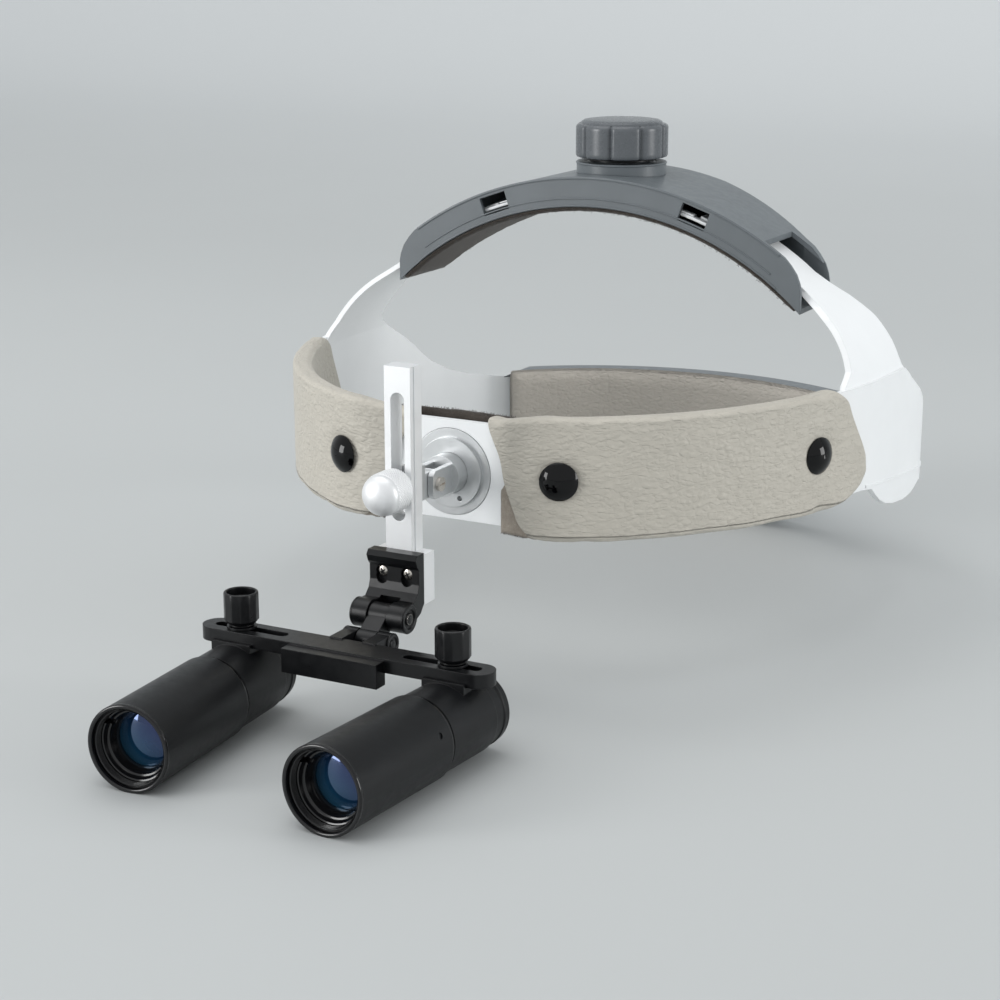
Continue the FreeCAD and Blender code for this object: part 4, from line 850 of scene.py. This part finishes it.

# hinge pin ends, and the bracket screws with black blocks across each head, a painted shade standing in for
# the shade in the cross slot
PIN_END = [(0, 0.72), (1.4, 0.72), (1.8, 0.5), (1.85, 0.15), (2.75, 0.15), (2.95, 0.62), (3.3, 0.8)]
PIN_END += [(3.9, 0.76), (4.25, 0.4), (4.25, -0.1), (0, -0.1)]
TIP_PIN_END = [(r * 0.78, h * 0.7) for r, h in PIN_END]
BRACKET_SCREW = [(0, -5.5), (0.95, -5.5), (0.95, 0.0), (1.75, 0.0), (1.8, 0.5), (1.5, 1.0), (0.9, 1.3)]
BRACKET_SCREW.append((0, 1.4))
SLOT_SHADE_SIZE = (1.9, 0.42, 0.3)
for side, sign in (("left", 1), ("right", -1)):
    out = (sign, 0, 0)
    lathe("flip_pin_end_" + side, PIN_END, frame_at((sign * 8.2, -96.6, 30.4), out, (0, 1, 0)), BLACK, "post",
          72)
    lathe("tip_pin_end_" + side, TIP_PIN_END, frame_at((sign * 7.4, -104.3, 25.0), out, (0, 1, 0)), BLACK,
          "bridge", 72)
    place = frame_at((sign * 4.1, -88.45, 41.2), (0, -1, 0))
    lathe("bracket_screw_" + side, BRACKET_SCREW, place, NICKEL, "post", 48,
          replaces=("bracket_screws",) if sign > 0 else ())
    # painted shade: two black blocks cross each screw head where its cross slot would lie in shade
    for turn in (0.5, 0.5 + math.pi / 2):
        direction = place(math.cos(turn), math.sin(turn), 0) - place(0, 0, 0)
        spot = frame_at(place(0, 0, 1.32), (0, -1, 0), direction)
        box_piece("bracket_screw_%s_recess_%d" % (side, int(turn * 10)), SLOT_SHADE_SIZE, spot, BLACK, "post",
                  0.05)

# thumb screws: light facets, cupped top, neck
FACETS = 12
FACET_FLAT, FACET_CORNER = 4.86, 4.98
THUMB = [(0, -6.3), (1.45, -6.3), (1.45, -0.55), (3.4, -0.55), (3.6, -0.35), (3.6, -0.1), (3.2, 0.1)]
THUMB += [(3.9, 0.2), (4.1, 0.3), (4.98, 1.3), (5.0, 1.6), (5.0, 4.0), (5.0, 6.5), (5.0, 8.9), (4.85, 9.25)]
THUMB += [(4.6, 9.4), (4.3, 9.4), (4.1, 9.15), (4.0, 7.0), (3.7, 6.8), (1.0, 6.8), (0.75, 6.7), (0.65, 5.4)]
THUMB.append((0, 5.3))


def faceted(a, r, h):
    if r < 4.95:
        return r, h
    wedge = 2 * math.pi / FACETS
    part = (a % wedge) - wedge / 2
    return min(FACET_CORNER, FACET_FLAT / math.cos(part)), h


def slotted(a, r, h):
    """Two spanner slots across the front of a retaining ring."""
    for centre in (0.6, 0.6 + math.pi):
        if abs((a - centre + math.pi) % (2 * math.pi) - math.pi) < 0.085 and h < 6.0:
            return r, max(h, 5.9)
    return r, h


# the optics' sections, as (radius, distance back from the barrel's mouth)
CONVERGENCE = 4.2
MOUTH_X, MOUTH_Y, MOUTH_Z = 30.0, -177.4, 12.3
THUMB_Y, THUMB_SEAT = -117.4, 28.93
GLASS_R, EYE_R = 7.6, 7.1
RETAINING_RING = [(10.5, 3.6), (10.15, 3.35), (9.75, 3.5), (9.5, 4.3), (9.2, 4.7), (8.75, 4.85), (8.45, 5.4)]
RETAINING_RING += [(8.3, 6.0), (7.95, 6.4), (7.55, 7.2), (7.5, 7.9), (10.5, 7.9)]
MOUTH_THREAD = [(10.62, 0.9)]
for i in range(7):
    MOUTH_THREAD += [(10.58, 1.0 + 0.32 * i), (10.28, 1.16 + 0.32 * i)]
MOUTH_THREAD += [(10.55, 3.3), (10.62, 3.3)]
MOUTH_RIM = [(11.15, 0.9), (11.2, 0.1), (11.35, -0.12), (11.7, -0.2), (12.05, -0.14), (12.28, 0.12)]
MOUTH_RIM += [(12.34, 0.5), (12.3, 0.9)]
OBJECTIVE = [(0, 6.7)] + [(GLASS_R * i / 10, 6.7 + 1.25 * (i / 10) ** 2) for i in range(1, 11)]
OBJECTIVE += [(GLASS_R, 10.6), (0, 10.6)]
EYE_LENS = [(0, 68.8), (EYE_R, 68.8), (EYE_R, 70.2)]
EYE_LENS += [(EYE_R * i / 8, 71.4 - 1.2 * (i / 8) ** 2) for i in range(7, 0, -1)] + [(0, 71.4)]
COLLAR = [(12.05, 41.7), (12.0, 42.3), (11.2, 42.5), (9.45, 42.5), (9.45, 41.7)]
EYECUP_BEAD = [(10.95, 68.4), (11.3, 68.6), (11.35, 69.2), (11.1, 69.6), (10.9, 69.4)]
for side, sign in (("left", 1), ("right", -1)):
    turn = math.radians(CONVERGENCE)
    out = (sign * math.sin(turn), math.cos(turn), 0)
    front = Vector((sign * MOUTH_X, MOUTH_Y, MOUTH_Z))
    screw_x = front.x + out[0] / out[1] * (THUMB_Y - front.y)
    seat = frame_at((screw_x, THUMB_Y, THUMB_SEAT), (0, 0, 1))
    lathe(side + "_thumb_grip", THUMB, seat, BLACK, side + "_thumb", 144, faceted, sharp=24,
          replaces=(side + "_thumb_screw",))
    along = frame_at(front, out, (1, 0, 0))
    body = side + "_optic"
    lathe(side + "_retaining_ring", RETAINING_RING, along, GLOSS, body, 216, slotted, True,
          30, (side + "_lens_ring",))
    lathe(side + "_mouth_thread", MOUTH_THREAD, along, GLOSS, body, 144, None, True, 60)
    lathe(side + "_mouth_rim", MOUTH_RIM, along, GLOSS, body, 192, None, True, 50)
    lathe(side + "_objective_glass", OBJECTIVE, along, LENS, body, 96, None, False, 40,
          (side + "_objective_lens",), GLASS_R)
    lathe(side + "_eye_glass", EYE_LENS, along, LENS, body, 96, None, False, 40,
          (side + "_eye_lens",), GLASS_R)
    lathe(side + "_barrel_collar", COLLAR, along, GLOSS, body, 144, None, True, 40)
    lathe(side + "_eyecup_bead", EYECUP_BEAD, along, MATT, body, 144, None, True, 60)


SHEET_COLS = 16


def band_sheet(name, s_values, z_range, outer, inner, sign, material, wave=0.0):
    """Thin sheet on the band between two offsets; z_range(s) gives its low and high edge."""
    verts, uvs = [], []
    for s in s_values:
        low, high = z_range(s)
        for face in (0, 1):
            for k in range(SHEET_COLS):
                t = k / (SHEET_COLS - 1) if face == 0 else 1 - k / (SHEET_COLS - 1)
                z = low + (high - low) * t
                o = (outer if face == 0 else inner) + wave * wander(s, z, face, 0.4, 2.0)
                if k in (0, SHEET_COLS - 1):
                    o = o * 0.6 + (outer + inner) * 0.2
                verts.append(on_band(s, o, z, sign))
                uvs.append((s, z))
    faces = capped_tube(len(s_values), 2 * SHEET_COLS)
    face_outward(make(name, verts, faces, material, "headband", uvs))


BACKING_START, BACKING_END = s_at_x(16.6), s_at_x(31.0)
BACKING_TOP_S = [BACKING_START, BACKING_START + 1.5, BACKING_START + 4.5, BACKING_END]
# the step moulded along the foot of the temple plate: (how far back, height)
STEP_LINE = [(36.0, 48.9), (50.0, 47.6), (70.0, 45.8), (92.0, 43.9), (104.0, 43.2)]
STEP_S = [s_at_y(y) for y, z in STEP_LINE]
STEP_TALL = 0.9


def backing_edges(s):
    low = 46.95 + 0.25 * wander(s, 0, 0, 0.5, 4.0)
    return low, float(np.interp(s, BACKING_TOP_S, [60.0, 62.0, 62.5, 58.0]))


def step_edges(s):
    low = float(np.interp(s, STEP_S, [z for y, z in STEP_LINE]))
    return low, low + STEP_TALL


for side, sign in (("left", 1), ("right", -1)):
    band_sheet(side + "_cover_backing", list(np.linspace(BACKING_START, BACKING_END, 24)), backing_edges,
               1.45, 2.15, sign, CANVAS, 0.05)
    band_sheet(side + "_temple_step", list(np.linspace(STEP_S[0], STEP_S[-1], 60)), step_edges,
               1.9, 2.3, sign, WHITE)



def stray():
    return random.uniform(-0.5, 0.5)


roots = []
for side, sign in (("left", 1), ("right", -1)):
    for k in range(260):
        s = random.uniform(s_at_x(34.0), s_at_y(12.0))
        roots.append((on_band(s, random.uniform(2.6, 4.6), 46.9, sign), (stray(), stray(), -1)))
    for k in range(260):
        s = random.uniform(0.3, s_at_x(25.0))
        roots.append((on_band(s, random.uniform(6.8, 9.6), 80.4, sign), (stray(), stray(), 1)))
    for k in range(110):
        s = random.uniform(s_at_x(16.4), s_at_x(26.0))
        roots.append((on_band(s, random.uniform(1.5, 2.1), 47.1, sign), (stray(), -0.4, -1)))
fibres("band_felt_fibres", roots, FELT, "headband", 0.6, 0.06, 0.6)

# ---------------------------------------------------------------- stage and light
# painted light: the sheet is coloured lighter from 0.5 m to 2.4 m behind the object, up into the sweep,
# standing in for light on the backdrop; near the object it keeps FLOOR_TONE with a faint random cloud
FLOOR_TONE = linear(193, 196, 196)
FAR_PAINTED_LIGHT_TONE = linear(230, 233, 234)
floor_material = Graph("studio_floor")
metres = floor_material.coords((0.001, 0.001, 0.001))
cloud = floor_material.ramp(floor_material.noise(metres, 2.0, 3.0), 0.3, 0.7)
depth = floor_material.add("SeparateXYZ", {0: metres}).outputs[1]
near_tone = floor_material.mix(cloud, scaled(FLOOR_TONE, 0.985), scaled(FLOOR_TONE, 1.015))
floor_tone_with_painted_light = floor_material.mix(floor_material.ramp(depth, 0.5, 2.4, smooth=True), near_tone, FAR_PAINTED_LIGHT_TONE)
floor_material.finish(Base_Color=floor_tone_with_painted_light, Roughness=0.62, Specular_IOR_Level=0.25)

SWEEP_Y, SWEEP_R, SWEEP_STEPS = 1.6, 1.4, 24


def backdrop():
    """Seamless sheet: flat floor that curves up far behind the object."""
    profile = [(-6.0, 0.0), (SWEEP_Y, 0.0)]
    for k in range(1, SWEEP_STEPS + 1):
        a = math.pi / 2 * k / SWEEP_STEPS
        profile.append((SWEEP_Y + SWEEP_R * math.sin(a), SWEEP_R * (1 - math.cos(a))))
    profile.append((3.0, 4.5))
    verts, faces = [], []
    for x in (-7.0, 7.0):
        verts += [(x, y, z) for y, z in profile]
    n = len(profile)
    for k in range(n - 1):
        faces.append((k, n + k, n + k + 1, k + 1))
    mesh = bpy.data.meshes.new("backdrop")
    mesh.from_pydata(verts, [], faces)
    mesh.polygons.foreach_set("use_smooth", [True] * len(mesh.polygons))
    mesh.materials.append(floor_material.mat)
    obj = bpy.data.objects.new("backdrop", mesh)
    bpy.context.scene.collection.objects.link(obj)


backdrop()


def softbox(name, location, target, size, power):
    data = bpy.data.lights.new(name, "AREA")
    data.shape = "RECTANGLE"
    data.size, data.size_y = size
    data.energy = power
    obj = bpy.data.objects.new(name, data)
    obj.location = location
    obj.rotation_euler = (Vector(target) - Vector(location)).to_track_quat("-Z", "Y").to_euler()
    obj.visible_camera = False
    bpy.context.scene.collection.objects.link(obj)


softbox("key_left", (-1.25, -1.40, 0.42), (0, 0, 0.06), (0.70, 0.80), 15.5)
softbox("fill_right", (1.75, 0.30, 0.36), (0, 0, 0.07), (0.62, 0.72), 10.0)
softbox("top", (-0.35, -0.1, 1.9), (0, 0, 0), (1.8, 1.8), 12.5)
world = bpy.data.worlds.new("studio")
world.use_nodes = True
sky = world.node_tree.nodes["Background"].inputs
sky["Color"].default_value = (0.965, 0.985, 1.0, 1.0)
sky["Strength"].default_value = 0.70
bpy.context.scene.world = world
